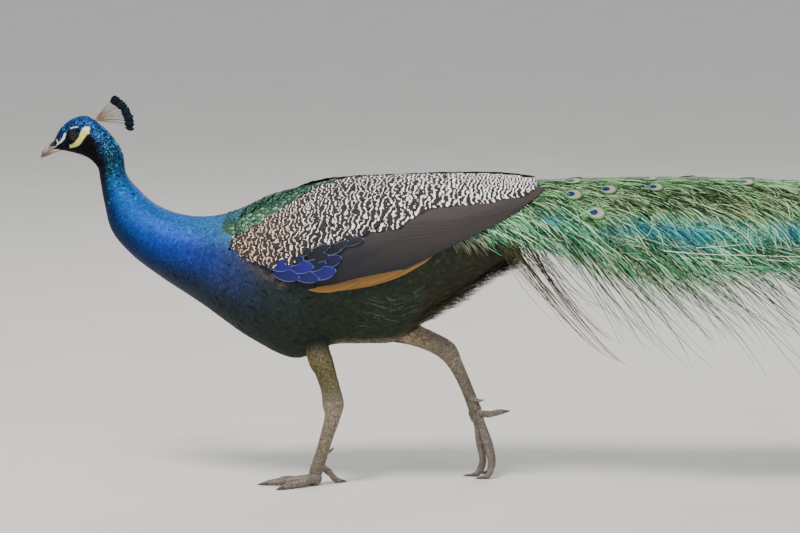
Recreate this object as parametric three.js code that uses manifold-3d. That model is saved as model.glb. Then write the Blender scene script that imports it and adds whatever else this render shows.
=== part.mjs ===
// Indian peacock (Pavo cristatus), adult male, walking: a still, life-size model.
// Millimetres, +Z up. The bird faces -X and its left side is -Y. The origin is on the floor, midway
// between the tip of the bill and the tip of the train.
//
// Head, neck and trunk are one loft, parted by thin cuts. Wings, train and tail are curved plates laid
// over it, and each leg is a tube. Neighbours stay a gap apart, because the later one is cut by the
// earlier one, grown by that gap.
import * as THREE from "three";
import { mergeVertices } from "three/addons/utils/BufferGeometryUtils.js";
import Module from "manifold-3d";

const wasm = await Module();
wasm.setup();

// ---------------------------------------------------------------- driving dimensions
const GAP = 0.3; // between pieces that touch
const EYE_RADIUS = 7.2;
const EYE_CENTRE = { x: -996, y: 10.6, z: 540.5 };
const EYE_CLEARANCE = 0.4;
const TRAIN_PARTS = { base: [-440, 60], middle: [60, 560], end: [560, 1050] };
const TRAIN_THICKNESS = { ridge: 8, edge: 2.2 };
const SOLE_LEVEL = 0;
const CREST = {
  root: { x: -964, z: 562 },
  stalks: 9,
  firstAngle: 50, // degrees above the tail direction
  lastAngle: -11,
  shortest: 38.5, // root to paddle, at the first stalk
  longest: 49.5, // and at the last
  stalkRadius: 0.7,
  paddle: { length: 14, width: 9, thickness: 3 },
  lean: 3.5, // how far alternate stalks lean to each side
};

// Head, neck and trunk: one row for each section, from the base of the bill to the base of the tail.
// back and front are the ends of the section's long axis in the plane of symmetry, half is its half
// width, and egg is how much wider it is towards the back of the bird than towards its belly.
const BODY = [
  { name: "bill base", back: [-1026.5, 531], front: [-1028, 516.5], half: 7.5, egg: 0 },
  { name: "lores", back: [-1016.5, 549.5], front: [-1016, 516.8], half: 12, egg: -0.1 },
  { name: "eyes", back: [-997, 565.3], front: [-998.5, 513.3], half: 16.5, egg: -0.05 },
  { name: "crown", back: [-976.5, 569.2], front: [-983, 508.6], half: 18, egg: 0 },
  { name: "ear", back: [-956.5, 557], front: [-973.2, 504], half: 18.5, egg: 0 },
  { name: "occiput", back: [-937.5, 539], front: [-965.5, 497], half: 18.5, egg: 0 },
  { name: "nape", back: [-922, 514], front: [-959.5, 488.5], half: 19, egg: 0 },
  { name: "throat", back: [-916, 480], front: [-956, 469], half: 20, egg: 0 },
  { name: "upper neck", back: [-899, 458], front: [-949.5, 431.5], half: 25, egg: 0 },
  { name: "middle neck", back: [-869.5, 432], front: [-939, 392], half: 33, egg: 0 },
  { name: "lower neck", back: [-831, 417], front: [-909, 355.5], half: 44, egg: 0 },
  { name: "neck base", back: [-788, 414], front: [-865, 321.5], half: 60, egg: 0.04 },
  { name: "shoulders", back: [-744, 424], front: [-803, 280.5], half: 80, egg: 0.08 },
  { name: "breast", back: [-700, 445], front: [-722, 223], half: 92, egg: 0.08 },
  { name: "breast bone", back: [-650, 459], front: [-655, 194], half: 98, egg: 0.06 },
  { name: "belly", back: [-600, 465], front: [-600, 215], half: 100, egg: 0.05 },
  { name: "flank", back: [-550, 468], front: [-550, 217], half: 99, egg: 0.06 },
  { name: "thighs", back: [-500, 467], front: [-500, 221], half: 96, egg: 0.12 },
  { name: "loin", back: [-450, 461], front: [-450, 262], half: 88, egg: 0.12 },
  { name: "rump", back: [-400, 456], front: [-400, 297], half: 78, egg: 0.1 },
  { name: "vent", back: [-350, 448], front: [-350, 333], half: 64, egg: 0.05 },
  { name: "tail base", back: [-310, 436], front: [-310, 352], half: 44, egg: 0 },
];
// [first section, last section, rings] of each node of the loft
const BODY_PARTS = {
  head: [0, 6, 11],
  neck_upper: [6, 9, 6],
  neck_lower: [9, 11, 5],
  trunk: [11, 21, 18],
};

// Each mandible is a loft of the same kind.
const BILL_UPPER = [
  { back: [-1027, 531], front: [-1028.4, 518], half: 7.5, egg: 0 },
  { back: [-1033, 526], front: [-1034.5, 515.2], half: 6.6, egg: 0 },
  { back: [-1040, 520.5], front: [-1040.8, 511], half: 5, egg: 0 },
  { back: [-1045.3, 513.5], front: [-1045, 506], half: 2.8, egg: 0 },
  { back: [-1047.3, 505], front: [-1046.5, 503.4], half: 0.5, egg: 0 },
];
const BILL_LOWER = [
  { back: [-1028.6, 517.4], front: [-1028.9, 511], half: 6.6, egg: 0 },
  { back: [-1035.5, 513.7], front: [-1035.3, 507.6], half: 5.2, egg: 0 },
  { back: [-1042.4, 507.8], front: [-1042, 504.3], half: 2.2, egg: 0 },
];

// The outside of a folded wing is part of an ellipse in each cross section. inner and outer are the
// angles of its edges, in degrees from straight up, and top is the ellipse's highest point.
const WING = [
  { x: -762, half: 82, centre: 335, top: 434, inner: 44, outer: 61 },
  { x: -744, half: 90, centre: 330, top: 440, inner: 40, outer: 70 },
  { x: -700, half: 101, centre: 326, top: 454, inner: 31, outer: 80 },
  { x: -650, half: 108, centre: 327, top: 466, inner: 21, outer: 88.5 },
  { x: -600, half: 111, centre: 342, top: 474, inner: 10, outer: 98 },
  { x: -550, half: 111, centre: 347, top: 478, inner: 5, outer: 96.5 },
  { x: -500, half: 109, centre: 347, top: 480, inner: 4, outer: 91 },
  { x: -450, half: 104, centre: 362, top: 482, inner: 5, outer: 89 },
  { x: -400, half: 96, centre: 385, top: 483, inner: 9, outer: 88.5 },
  { x: -350, half: 83, centre: 405, top: 483, inner: 13, outer: 85 },
  { x: -310, half: 67, centre: 426, top: 480, inner: 16, outer: 79 },
  { x: -276, half: 50, centre: 446, top: 475, inner: 32, outer: 58 },
];
const WING_THICKNESS = { shoulder: 14, tip: 2.5, thinsFrom: -480 };
// The primaries show as a narrow leaf below the folded secondaries.
const PRIMARIES = { from: -632, to: -448, width: 16, thickness: 9, widestAt: 0.12 };

// The folded train is an arched thatch, open below. depth is from its ridge to its hem.
const TRAIN = [
  { x: -440, ridge: 468, half: 84, depth: 97 },
  { x: -400, ridge: 468, half: 88, depth: 108 },
  { x: -350, ridge: 469, half: 90, depth: 116 },
  { x: -300, ridge: 470, half: 93, depth: 126 },
  { x: -240, ridge: 472, half: 98, depth: 150 },
  { x: -180, ridge: 474, half: 105, depth: 178 },
  { x: -60, ridge: 475, half: 116, depth: 206 },
  { x: 60, ridge: 473, half: 123, depth: 206 },
  { x: 200, ridge: 465, half: 128, depth: 196 },
  { x: 400, ridge: 444, half: 132, depth: 180 },
  { x: 600, ridge: 410, half: 132, depth: 160 },
  { x: 800, ridge: 361, half: 124, depth: 136 },
  { x: 950, ridge: 314, half: 98, depth: 104 },
  { x: 1050, ridge: 276, half: 40, depth: 44 },
];

// The true tail is a closed fan of stiff feathers under the train.
const TAIL = [
  { x: -330, centre: 398, half: 34, sag: 4, thickness: 8 },
  { x: -200, centre: 397, half: 48, sag: 9, thickness: 6 },
  { x: 0, centre: 392, half: 60, sag: 14, thickness: 4 },
  { x: 95, centre: 386, half: 52, sag: 12, thickness: 2 },
];

// Legs: centre of each section, its radius in the plane of the stride, and its radius across.
// The left leg bears the weight, and the right one is about to leave the floor.
const LEFT_LEG = [
  { at: [-628, -46, 240], deep: 27, wide: 20 },
  { at: [-619.5, -48, 204], deep: 21, wide: 18 },
  { at: [-609.5, -48, 178], deep: 16, wide: 14 },
  { at: [-602, -45, 152], deep: 15, wide: 12 },
  { at: [-598, -43, 128], deep: 16.5, wide: 11 },
  { at: [-599, -41, 108], deep: 12.4, wide: 9 },
  { at: [-607, -39, 80], deep: 10.4, wide: 7.6 },
  { at: [-615, -37, 52], deep: 9.8, wide: 7.4 },
  { at: [-624, -36, 24], deep: 10.6, wide: 8.6 },
];
const RIGHT_LEG = [
  { at: [-560, 50, 262], deep: 36, wide: 26 },
  { at: [-514, 49, 238], deep: 26, wide: 21 },
  { at: [-474, 46, 223], deep: 17.5, wide: 15 },
  { at: [-446, 43, 212], deep: 15.5, wide: 12 },
  { at: [-422, 41, 198], deep: 15.5, wide: 11 },
  { at: [-409, 39, 178], deep: 11.5, wide: 9 },
  { at: [-398, 38, 156], deep: 9.8, wide: 7.6 },
  { at: [-387, 37, 130], deep: 9.4, wide: 7.4 },
  { at: [-377, 36, 104], deep: 10.2, wide: 8.6 },
];
// [first section, last section, rings] of each node of a leg
const LEG_PARTS = { thigh: [0, 4, 7], tarsus: [4, 8, 6] };

// Toes: the way each one runs from the foot's joint to the claw's tip. The claw is the last share.
const CLAW_SHARE = 0.24;
const LEFT_TOES = {
  inner: { way: [[-628, -33, 12], [-650, -22, 6.4], [-672, -11, 4.6], [-692, -2, 1.4]], radius: [7, 4.8] },
  middle: { way: [[-628, -36, 12], [-658, -37, 7], [-690, -38, 4.8], [-716, -39, 1.4]], radius: [7.6, 5] },
  outer: { way: [[-628, -40, 12], [-648, -56, 6.4], [-668, -70, 4.6], [-686, -82, 1.4]], radius: [7, 4.8] },
  hind: { way: [[-618, -30, 30], [-605, -24, 18], [-594, -18, 5.2], [-577, -10, 1.2]], radius: [5.6, 4.4] },
};
const RIGHT_TOES = {
  inner: {
    way: [[-373, 32, 96], [-362, 25, 62], [-353, 20, 22], [-359, 17, 3.9], [-378, 14, 1.4]],
    radius: [6.6, 4.7],
  },
  middle: {
    way: [[-375, 36, 96], [-371, 36, 62], [-366, 36, 22], [-375, 37, 4.1], [-397, 38, 1.4]],
    radius: [7.2, 4.9],
  },
  outer: {
    way: [[-373, 40, 96], [-360, 48, 62], [-350, 54, 22], [-356, 57, 3.9], [-374, 61, 1.4]],
    radius: [6.6, 4.7],
  },
  hind: { way: [[-374, 30, 102], [-356, 23, 101], [-341, 18, 105], [-323, 13, 108]], radius: [5.8, 4.4] },
};
const FOOT_PADS = {
  left: { at: [-627, -36, 10.4], radius: 11.5 },
  right: { at: [-375, 36, 95], radius: 11 },
};
const SPURS = {
  left: { way: [[-615, -33, 50], [-604, -26, 51], [-597, -21, 56]], radius: 4.4 },
  right: { way: [[-386, 33, 126], [-373, 26, 122], [-364, 21, 124]], radius: 4.4 },
};

const SIDES = { body: 24, head: 20, leg: 12, toe: 7, claw: 6 };
const SKINS = {
  blue: { color: 0x1440a8, roughness: 0.4, metalness: 0.3 },
  belly: { color: 0x10261f, roughness: 0.6, metalness: 0.1 },
  barred: { color: 0x8a8075, roughness: 0.8, metalness: 0 },
  primaries: { color: 0xb4702c, roughness: 0.7, metalness: 0 },
  train: { color: 0x2f6a48, roughness: 0.5, metalness: 0.2 },
  tail: { color: 0x4a3a2c, roughness: 0.8, metalness: 0 },
  thigh: { color: 0x7d6c52, roughness: 0.9, metalness: 0 },
  leg: { color: 0x6d6256, roughness: 0.7, metalness: 0 },
  horn: { color: 0x6b6058, roughness: 0.5, metalness: 0 },
  eye: { color: 0x1a0d08, roughness: 0.1, metalness: 0 },
};

// ---------------------------------------------------------------- shape helpers
const degrees = THREE.MathUtils.degToRad;
const model = new THREE.Group();

// A smooth curve through rows of numbers, read by the row's index.
function rowCurve(rows) {
  const curve = new THREE.CatmullRomCurve3(
    rows.map((r) => new THREE.Vector3(...r)),
    false,
    "centripetal",
  );
  return (index) => curve.getPoint(index / (rows.length - 1));
}

// Moves each vertex of a closed unit geometry to place(vertex), and turns it into a solid facing out.
function shaped(geometry, place) {
  const bare = geometry.toNonIndexed();
  bare.deleteAttribute("normal");
  bare.deleteAttribute("uv");
  const at = bare.getAttribute("position");
  const vertex = new THREE.Vector3();
  for (let i = 0; i < at.count; i++) {
    const moved = place(vertex.fromBufferAttribute(at, i));
    at.setXYZ(i, moved.x, moved.y, moved.z);
  }
  return solidOf(bare);
}

function solidOf(geometry) {
  const merged = mergeVertices(geometry, 1e-3);
  const corners = new Uint32Array(merged.index.array);
  const build = () =>
    new wasm.Manifold(
      new wasm.Mesh({ numProp: 3, vertProperties: merged.attributes.position.array, triVerts: corners }),
    );
  const made = build();
  if (made.volume() > 0) return made;
  for (let i = 0; i < corners.length; i += 3) {
    [corners[i + 1], corners[i + 2]] = [corners[i + 2], corners[i + 1]];
  }
  return build();
}

// A ball at a place on the object.
function ballAt(centre, radius) {
  const middle = new THREE.Vector3(...centre);
  return shaped(new THREE.SphereGeometry(radius, 10, 6), (v) => v.clone().add(middle));
}

// A cylinder of unit size laid along +Z: ring 0 to 1, angle from straight up, and share of the radius.
function tubeShape(sides, rings, place) {
  return shaped(new THREE.CylinderGeometry(1, 1, 1, sides, rings), (v) => {
    const share = Math.min(1, Math.hypot(v.x, v.z));
    return place(v.y + 0.5, Math.atan2(v.x, v.z), share);
  });
}

// A box of unit size laid as a curved plate: along 0 to 1, across 0 to 1, and depth 0 (outside) to 1.
function plateShape(along, across, place) {
  const box = new THREE.BoxGeometry(1, 1, 1, along, across, 1);
  return shaped(box, (v) => place(v.x + 0.5, v.y + 0.5, v.z + 0.5));
}

// A loft through sections such as BODY's. Part of it can be taken, and it can be grown.
function loft(sections, from, to, rings, sides, grow = 0) {
  const back = rowCurve(sections.map((s) => [s.back[0], 0, s.back[1]]));
  const front = rowCurve(sections.map((s) => [s.front[0], 0, s.front[1]]));
  const size = rowCurve(sections.map((s) => [s.half, s.egg * 100, 0]));
  return tubeShape(sides, rings, (ring, angle, share) => {
    const index = THREE.MathUtils.lerp(from, to, ring);
    const [b, f, s] = [back(index), front(index), size(index)];
    const up = b.clone().sub(f);
    const tall = up.length() / 2 + grow;
    const centre = b.clone().add(f).multiplyScalar(0.5);
    const across = (s.x + grow) * Math.sin(angle) * (1 + (s.y / 100) * Math.cos(angle));
    centre.y += across * share;
    return centre.addScaledVector(up.normalize(), tall * Math.cos(angle) * share);
  });
}

// A tube through sections such as LEFT_LEG's, flattened across the stride.
function limb(sections, from, to, rings, sides, grow = 0) {
  const way = rowCurve(sections.map((s) => s.at));
  const size = rowCurve(sections.map((s) => [s.deep, s.wide, 0]));
  const last = sections.length - 1;
  return tubeShape(sides, rings, (ring, angle, share) => {
    const index = THREE.MathUtils.lerp(from, to, ring);
    const along = way(Math.min(index + 0.05, last)).sub(way(Math.max(index - 0.05, 0))).normalize();
    const across = new THREE.Vector3(0, 1, 0).addScaledVector(along, -along.y).normalize();
    const deep = new THREE.Vector3().crossVectors(across, along);
    const s = size(index);
    return way(index)
      .addScaledVector(deep, (s.x + grow) * Math.cos(angle) * share)
      .addScaledVector(across, (s.y + grow) * Math.sin(angle) * share);
  });
}

// A round tube along points, between two shares of its length, with the radius given by that share.
function finger(points, from, to, rings, sides, radiusAt) {
  const curve = new THREE.CatmullRomCurve3(points.map((p) => new THREE.Vector3(...p)));
  const side = new THREE.Vector3(0, 1, 0);
  return tubeShape(sides, rings, (ring, angle, share) => {
    const at = THREE.MathUtils.lerp(from, to, ring);
    const along = curve.getTangent(at);
    const across = side.clone().addScaledVector(along, -along.dot(side)).normalize();
    const deep = new THREE.Vector3().crossVectors(across, along);
    const radius = radiusAt(at) * share;
    return curve
      .getPoint(at)
      .addScaledVector(deep, radius * Math.cos(angle))
      .addScaledVector(across, radius * Math.sin(angle));
  });
}

// The rows of a table at a place along x, smoothly between its rows.
function tableAt(rows, keys) {
  const curves = [];
  for (let i = 0; i < keys.length; i += 2) {
    curves.push(rowCurve(rows.map((r) => [r.x, r[keys[i]], r[keys[i + 1]] ?? 0])));
  }
  const last = rows.length - 1;
  return (x) => {
    let [low, high] = [0, last];
    for (let step = 0; step < 40; step++) {
      const middle = (low + high) / 2;
      if (curves[0](middle).x < x) low = middle;
      else high = middle;
    }
    const found = {};
    keys.forEach((key, i) => {
      const point = curves[i >> 1](low);
      found[key] = i % 2 ? point.z : point.y;
    });
    return found;
  };
}

function add(name, solid, skin) {
  const made = solid.getMesh();
  const geometry = new THREE.BufferGeometry();
  const points = new Float32Array((made.vertProperties.length / made.numProp) * 3);
  for (let i = 0; i < points.length / 3; i++) {
    for (let k = 0; k < 3; k++) points[3 * i + k] = made.vertProperties[made.numProp * i + k];
  }
  geometry.setAttribute("position", new THREE.BufferAttribute(points, 3));
  geometry.setIndex(new THREE.BufferAttribute(new Uint32Array(made.triVerts), 1));
  geometry.computeVertexNormals();
  const mesh = new THREE.Mesh(geometry, new THREE.MeshStandardMaterial(SKINS[skin]));
  mesh.name = name;
  model.add(mesh);
}

const join = (solids) => solids.reduce((a, b) => a.add(b));
const cut = (solid, cutters) => cutters.reduce((a, b) => a.subtract(b), solid);
// The largest body of a solid, without the slivers that a cut can leave.
function largest(solid) {
  return solid.decompose().reduce((a, b) => (b.volume() > a.volume() ? b : a));
}

// ---------------------------------------------------------------- head, neck and trunk
const bodyPart = (name, grow = 0) => {
  const [from, to, rings] = BODY_PARTS[name];
  const sides = name === "trunk" ? SIDES.body : SIDES.head;
  return loft(BODY, from, to, rings, sides, grow);
};
// Each cut between two sections is GAP wide: this is that gap as a share of the step between them.
function shareOfGap(sections, index) {
  const centre = (s) => new THREE.Vector3((s.back[0] + s.front[0]) / 2, 0, (s.back[1] + s.front[1]) / 2);
  return GAP / centre(sections[index]).distanceTo(centre(sections[index + 1]));
}

const eyeSphere = (side, grow) =>
  shaped(new THREE.SphereGeometry(EYE_RADIUS + grow, 12, 8), (v) =>
    v.clone().add(new THREE.Vector3(EYE_CENTRE.x, side * EYE_CENTRE.y, EYE_CENTRE.z)),
  );

for (const [name, [from, to, rings]] of Object.entries(BODY_PARTS)) {
  const start = from === 0 ? 0 : from + shareOfGap(BODY, from) * 1.6;
  const isTrunk = name === "trunk";
  const uncut = loft(BODY, start, to, rings, isTrunk ? SIDES.body : SIDES.head);
  const sockets = name === "head" ? [eyeSphere(-1, EYE_CLEARANCE), eyeSphere(1, EYE_CLEARANCE)] : [];
  add(name, largest(cut(uncut, sockets)), isTrunk ? "belly" : "blue");
}
add("eye_left", eyeSphere(-1, 0), "eye");
add("eye_right", eyeSphere(1, 0), "eye");

// ---------------------------------------------------------------- bill and crest
const mandible = (rows, rings) => loft(rows, 0, rows.length - 1, rings, 10).translate([-GAP, 0, 0]);
add("bill_upper", mandible(BILL_UPPER, 6), "horn");
add("bill_lower", mandible(BILL_LOWER, 3), "horn");

function crestStalk(number) {
  const share = number / (CREST.stalks - 1);
  const angle = degrees(THREE.MathUtils.lerp(CREST.firstAngle, CREST.lastAngle, share));
  const reach = THREE.MathUtils.lerp(CREST.shortest, CREST.longest, share);
  const lean = CREST.lean * (number % 2 ? 1 : -1);
  const tip = (length) => [
    CREST.root.x + length * Math.cos(angle),
    (lean * length) / reach,
    CREST.root.z + length * Math.sin(angle),
  ];
  const { length, width, thickness } = CREST.paddle;
  const way = [tip(-2), tip(reach / 2), tip(reach + length / 2)];
  const stalk = finger(way, 0, 1, 1, 4, () => CREST.stalkRadius);
  const paddle = shaped(new THREE.SphereGeometry(1, 6, 4), (v) => {
    const out = (v.y * length) / 2 + reach + length / 2;
    const sideways = (v.x * width) / 2;
    const [x, y, z] = tip(out);
    return new THREE.Vector3(
      x - sideways * Math.sin(angle),
      y + (v.z * thickness) / 2,
      z + sideways * Math.cos(angle),
    );
  });
  return stalk.add(paddle);
}
const crestRoot = ballAt([CREST.root.x, 0, CREST.root.z], 5);
const stalks = Array.from({ length: CREST.stalks }, (_, i) => crestStalk(i));
add("crest", largest(cut(join([crestRoot, ...stalks]), [bodyPart("head", GAP)])), "blue");

// ---------------------------------------------------------------- wings
const trunkCutter = bodyPart("trunk", GAP).add(bodyPart("neck_lower", GAP));
const wingAt = tableAt(WING, ["half", "centre", "top", "inner", "outer"]);
const wingPoint = (x, angle, depth, side) => {
  const w = wingAt(x);
  return new THREE.Vector3(
    x,
    side * (w.half - depth) * Math.sin(angle),
    w.centre + (w.top - w.centre - depth) * Math.cos(angle),
  );
};
function wingThickness(x) {
  const thins = THREE.MathUtils.smoothstep(x, WING_THICKNESS.thinsFrom, WING[WING.length - 1].x);
  return THREE.MathUtils.lerp(WING_THICKNESS.shoulder, WING_THICKNESS.tip, Math.min(1, thins * 1.6));
}
function wing(side, grow = 0) {
  return plateShape(14, 7, (along, across, depth) => {
    const x = THREE.MathUtils.lerp(WING[0].x - grow, WING[WING.length - 1].x + grow, along);
    const w = wingAt(Math.min(Math.max(x, WING[0].x), WING[WING.length - 1].x));
    const margin = (grow / w.half) * (across * 2 - 1);
    const angle = degrees(THREE.MathUtils.lerp(w.inner, w.outer, across)) + margin;
    const inwards = THREE.MathUtils.lerp(-grow, wingThickness(x) + grow, depth);
    const within = THREE.MathUtils.clamp(x, WING[0].x, WING[WING.length - 1].x);
    const place = wingPoint(within, angle, inwards, side);
    place.x = x;
    return place;
  });
}
function primaries(side) {
  return plateShape(8, 2, (along, across, depth) => {
    const x = THREE.MathUtils.lerp(PRIMARIES.from, PRIMARIES.to, along);
    const w = wingAt(x);
    const blunt = Math.sqrt(Math.min(1, (along + 0.02) / PRIMARIES.widestAt));
    const leaf = PRIMARIES.width * blunt * (1 - 0.94 * along * along);
    const drop = (2 * GAP + across * leaf) / w.half;
    return wingPoint(x, degrees(w.outer) + drop, 3 + depth * PRIMARIES.thickness, side);
  });
}
const sides = { left: -1, right: 1 };
const wingCutters = [];
for (const [name, side] of Object.entries(sides)) {
  add("wing_" + name, largest(cut(wing(side), [trunkCutter])), "barred");
  wingCutters.push(wing(side, GAP));
  add("primaries_" + name, largest(cut(primaries(side), [trunkCutter, wing(side, GAP)])), "primaries");
}

// ---------------------------------------------------------------- train and tail
const trainAt = tableAt(TRAIN, ["ridge", "half", "depth"]);
function trainPart(from, to, along, gapAtStart) {
  return plateShape(along, 14, (length, across, depth) => {
    const x = THREE.MathUtils.lerp(from + gapAtStart, to, length);
    const t = trainAt(x);
    const angle = (across * 2 - 1) * (Math.PI / 2);
    const outwards = Math.abs(angle) / (Math.PI / 2);
    const inwards = depth * THREE.MathUtils.lerp(TRAIN_THICKNESS.ridge, TRAIN_THICKNESS.edge, outwards);
    return new THREE.Vector3(
      x,
      (t.half - inwards) * Math.sin(angle),
      t.ridge - inwards - (t.depth - inwards) * (1 - Math.cos(angle)),
    );
  });
}
const trainRings = { base: 9, middle: 6, end: 8 };
for (const [name, [from, to]] of Object.entries(TRAIN_PARTS)) {
  const isBase = name === "base";
  const whole = trainPart(from, to, trainRings[name], isBase ? 0 : GAP);
  add("train_" + name, isBase ? largest(cut(whole, [trunkCutter, ...wingCutters])) : whole, "train");
}

const tailAt = tableAt(TAIL, ["centre", "half", "sag", "thickness"]);
const tail = plateShape(5, 6, (along, across, depth) => {
  const x = THREE.MathUtils.lerp(TAIL[0].x, TAIL[TAIL.length - 1].x, along);
  const t = tailAt(x);
  const side = across * 2 - 1;
  return new THREE.Vector3(x, side * t.half, t.centre - t.sag * side * side - depth * t.thickness);
});
add("tail", largest(cut(tail, [trunkCutter])), "tail");

// ---------------------------------------------------------------- legs and feet
const LEGS = { left: LEFT_LEG, right: RIGHT_LEG };
const TOES = { left: LEFT_TOES, right: RIGHT_TOES };
const underSoles = new THREE.Vector3(0, 0, SOLE_LEVEL - 50);
const floor = shaped(new THREE.BoxGeometry(3000, 600, 100), (v) => v.clone().add(underSoles));
const toeRadius = ([root, tip]) => (at) => {
  const joints = 1 + 0.07 * Math.cos(at * 21);
  return joints * THREE.MathUtils.lerp(root, tip, at / (1 - CLAW_SHARE));
};
const clawRadius = ([, tip]) => (at) => tip * 0.8 * Math.pow(Math.max(0.01, (1 - at) / CLAW_SHARE), 0.7);

for (const [name, sections] of Object.entries(LEGS)) {
  const legCutter = limb(sections, 3, 8, 9, SIDES.leg, GAP);
  for (const [part, [from, to, rings]] of Object.entries(LEG_PARTS)) {
    const start = part === "tarsus" ? from + GAP / 20 : from;
    const whole = limb(sections, start, to, rings, SIDES.leg);
    add(`${part}_${name}`, largest(cut(whole, [trunkCutter])), part === "thigh" ? "thigh" : "leg");
  }
  const { way, radius } = SPURS[name];
  const spur = finger(way, 0, 1, 3, SIDES.claw, (at) => radius * (1 - at) + 0.6);
  add("spur_" + name, largest(cut(spur, [legCutter])), "horn");

  const pad = FOOT_PADS[name];
  const toes = Object.values(TOES[name]).map((toe) =>
    finger(toe.way, 0, 1 - CLAW_SHARE, 5, SIDES.toe, toeRadius(toe.radius)),
  );
  const foot = join([ballAt(pad.at, pad.radius), ...toes]);
  add("foot_" + name, largest(cut(foot, [legCutter, floor])), "leg");
  for (const [toeName, toe] of Object.entries(TOES[name])) {
    const start = 1 - CLAW_SHARE + 0.012;
    const claw = finger(toe.way, start, 1, 3, SIDES.claw, clawRadius(toe.radius));
    add(`claw_${name}_${toeName}`, largest(cut(claw, [floor])), "horn");
  }
}

export default model;
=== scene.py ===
"""Indian peacock, walking: skin, feathers, bill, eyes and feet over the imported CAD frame.

Tables are in millimetres and use the CAD's frame: +Z up, the bird faces -X, its left side is -Y.
"""
import math

import bpy
import numpy as np
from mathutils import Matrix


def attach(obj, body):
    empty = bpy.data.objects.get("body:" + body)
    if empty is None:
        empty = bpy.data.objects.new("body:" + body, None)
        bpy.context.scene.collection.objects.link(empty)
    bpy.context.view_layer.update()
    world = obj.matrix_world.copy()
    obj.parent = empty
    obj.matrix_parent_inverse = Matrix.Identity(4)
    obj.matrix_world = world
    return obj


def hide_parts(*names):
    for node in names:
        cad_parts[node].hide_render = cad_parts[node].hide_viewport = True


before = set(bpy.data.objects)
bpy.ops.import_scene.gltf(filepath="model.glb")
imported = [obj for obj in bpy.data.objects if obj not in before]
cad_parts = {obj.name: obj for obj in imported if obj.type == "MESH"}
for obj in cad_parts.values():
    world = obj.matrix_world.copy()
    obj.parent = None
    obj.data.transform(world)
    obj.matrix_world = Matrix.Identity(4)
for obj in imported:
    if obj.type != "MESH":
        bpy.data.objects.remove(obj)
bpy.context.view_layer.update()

rng = np.random.default_rng(11)
MM = 0.001
SIDES = ((-1, "left"), (1, "right"))


# ---------------------------------------------------------------- small maths
def curve(rows, at):
    """A centripetal Catmull-Rom curve through rows, read by the row's index, as the CAD reads it."""
    rows = np.asarray(rows, float)
    ends = np.vstack([2 * rows[0] - rows[1], rows, 2 * rows[-1] - rows[-2]])
    at = np.clip(np.asarray(at, float), 0, len(rows) - 1)
    i = np.minimum(at.astype(int), len(rows) - 2)
    w = (at - i)[..., None]
    p0, p1, p2, p3 = ends[i], ends[i + 1], ends[i + 2], ends[i + 3]
    d0, d1, d2 = (
        np.maximum(np.sum((b - a) ** 2, -1, keepdims=True) ** 0.25, 1e-4)
        for a, b in ((p0, p1), (p1, p2), (p2, p3))
    )
    t1 = ((p1 - p0) / d0 - (p2 - p0) / (d0 + d1) + (p2 - p1) / d1) * d1
    t2 = ((p2 - p1) / d1 - (p3 - p1) / (d1 + d2) + (p3 - p2) / d2) * d1
    return p1 + t1 * w + (3 * (p2 - p1) - 2 * t1 - t2) * w**2 + (2 * (p1 - p2) + t1 + t2) * w**3


def table(rows, x):
    """The columns of rows after the first, read smoothly at x, which is the first column."""
    rows = np.asarray(rows, float)
    x = np.clip(np.asarray(x, float), rows[0, 0], rows[-1, 0])
    slope = np.gradient(rows[:, 1:], rows[:, 0], axis=0)
    i = np.clip(np.searchsorted(rows[:, 0], x, "right") - 1, 0, len(rows) - 2)
    step = rows[i + 1, 0] - rows[i, 0]
    w = ((x - rows[i, 0]) / step)[..., None]
    step = step[..., None]
    a, b = rows[i, 1:], rows[i + 1, 1:]
    return (
        a * (1 + 2 * w) * (1 - w) ** 2
        + b * w**2 * (3 - 2 * w)
        + slope[i] * step * w * (1 - w) ** 2
        - slope[i + 1] * step * w**2 * (1 - w)
    )


def unit(v):
    return v / np.maximum(np.linalg.norm(v, axis=-1, keepdims=True), 1e-12)


def step_up(x, low, high):
    """0 below low, 1 above high and smooth between them."""
    w = np.clip((np.asarray(x, float) - low) / (high - low), 0, 1)
    return w * w * (3 - 2 * w)


def rgb(r, g, b):
    """A colour in the renderer's linear values, from its usual 0 to 255 ones."""
    c = np.array([r, g, b]) / 255
    return np.where(c <= 0.04045, c / 12.92, ((c + 0.055) / 1.055) ** 2.4)


def mix(a, b, w):
    w = np.asarray(w)[..., None]
    return a * (1 - w) + b * w


def together(*parts):
    """Arrays that broadcast together, as the last axis of one array."""
    return np.stack(np.broadcast_arrays(*parts), -1)


def hues(one, other, share):
    """Colours between two, the share of the way from one to the other."""
    return mix(rgb(*one), rgb(*other), share)


def shaded(colours, first, last, rows):
    """Each feather's colour, first times as bright at its root and last times at its tip: painted shade at
    the root, under the feathers that lie over it.
    """
    return np.clip(colours[:, None, None] * np.linspace(first, last, rows)[None, :, None, None], 0, 1)


def ripple(x, y, seed, size):
    """Smooth noise from -1 to 1 over a plane, with features about size across."""
    own = np.random.default_rng(seed)
    total = 0
    for k in range(5):
        a, b = own.normal(size=2) * 2.2 / size * (1 + 0.45 * k)
        total = total + np.sin(a * x + b * y + own.uniform(0, 6.28)) / (1 + 0.3 * k)
    return total / 2.6


def around(count):
    """Angles evenly all the way round, without the last one, which would be the first again."""
    return np.linspace(0, 2 * math.pi, count, endpoint=False)


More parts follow.
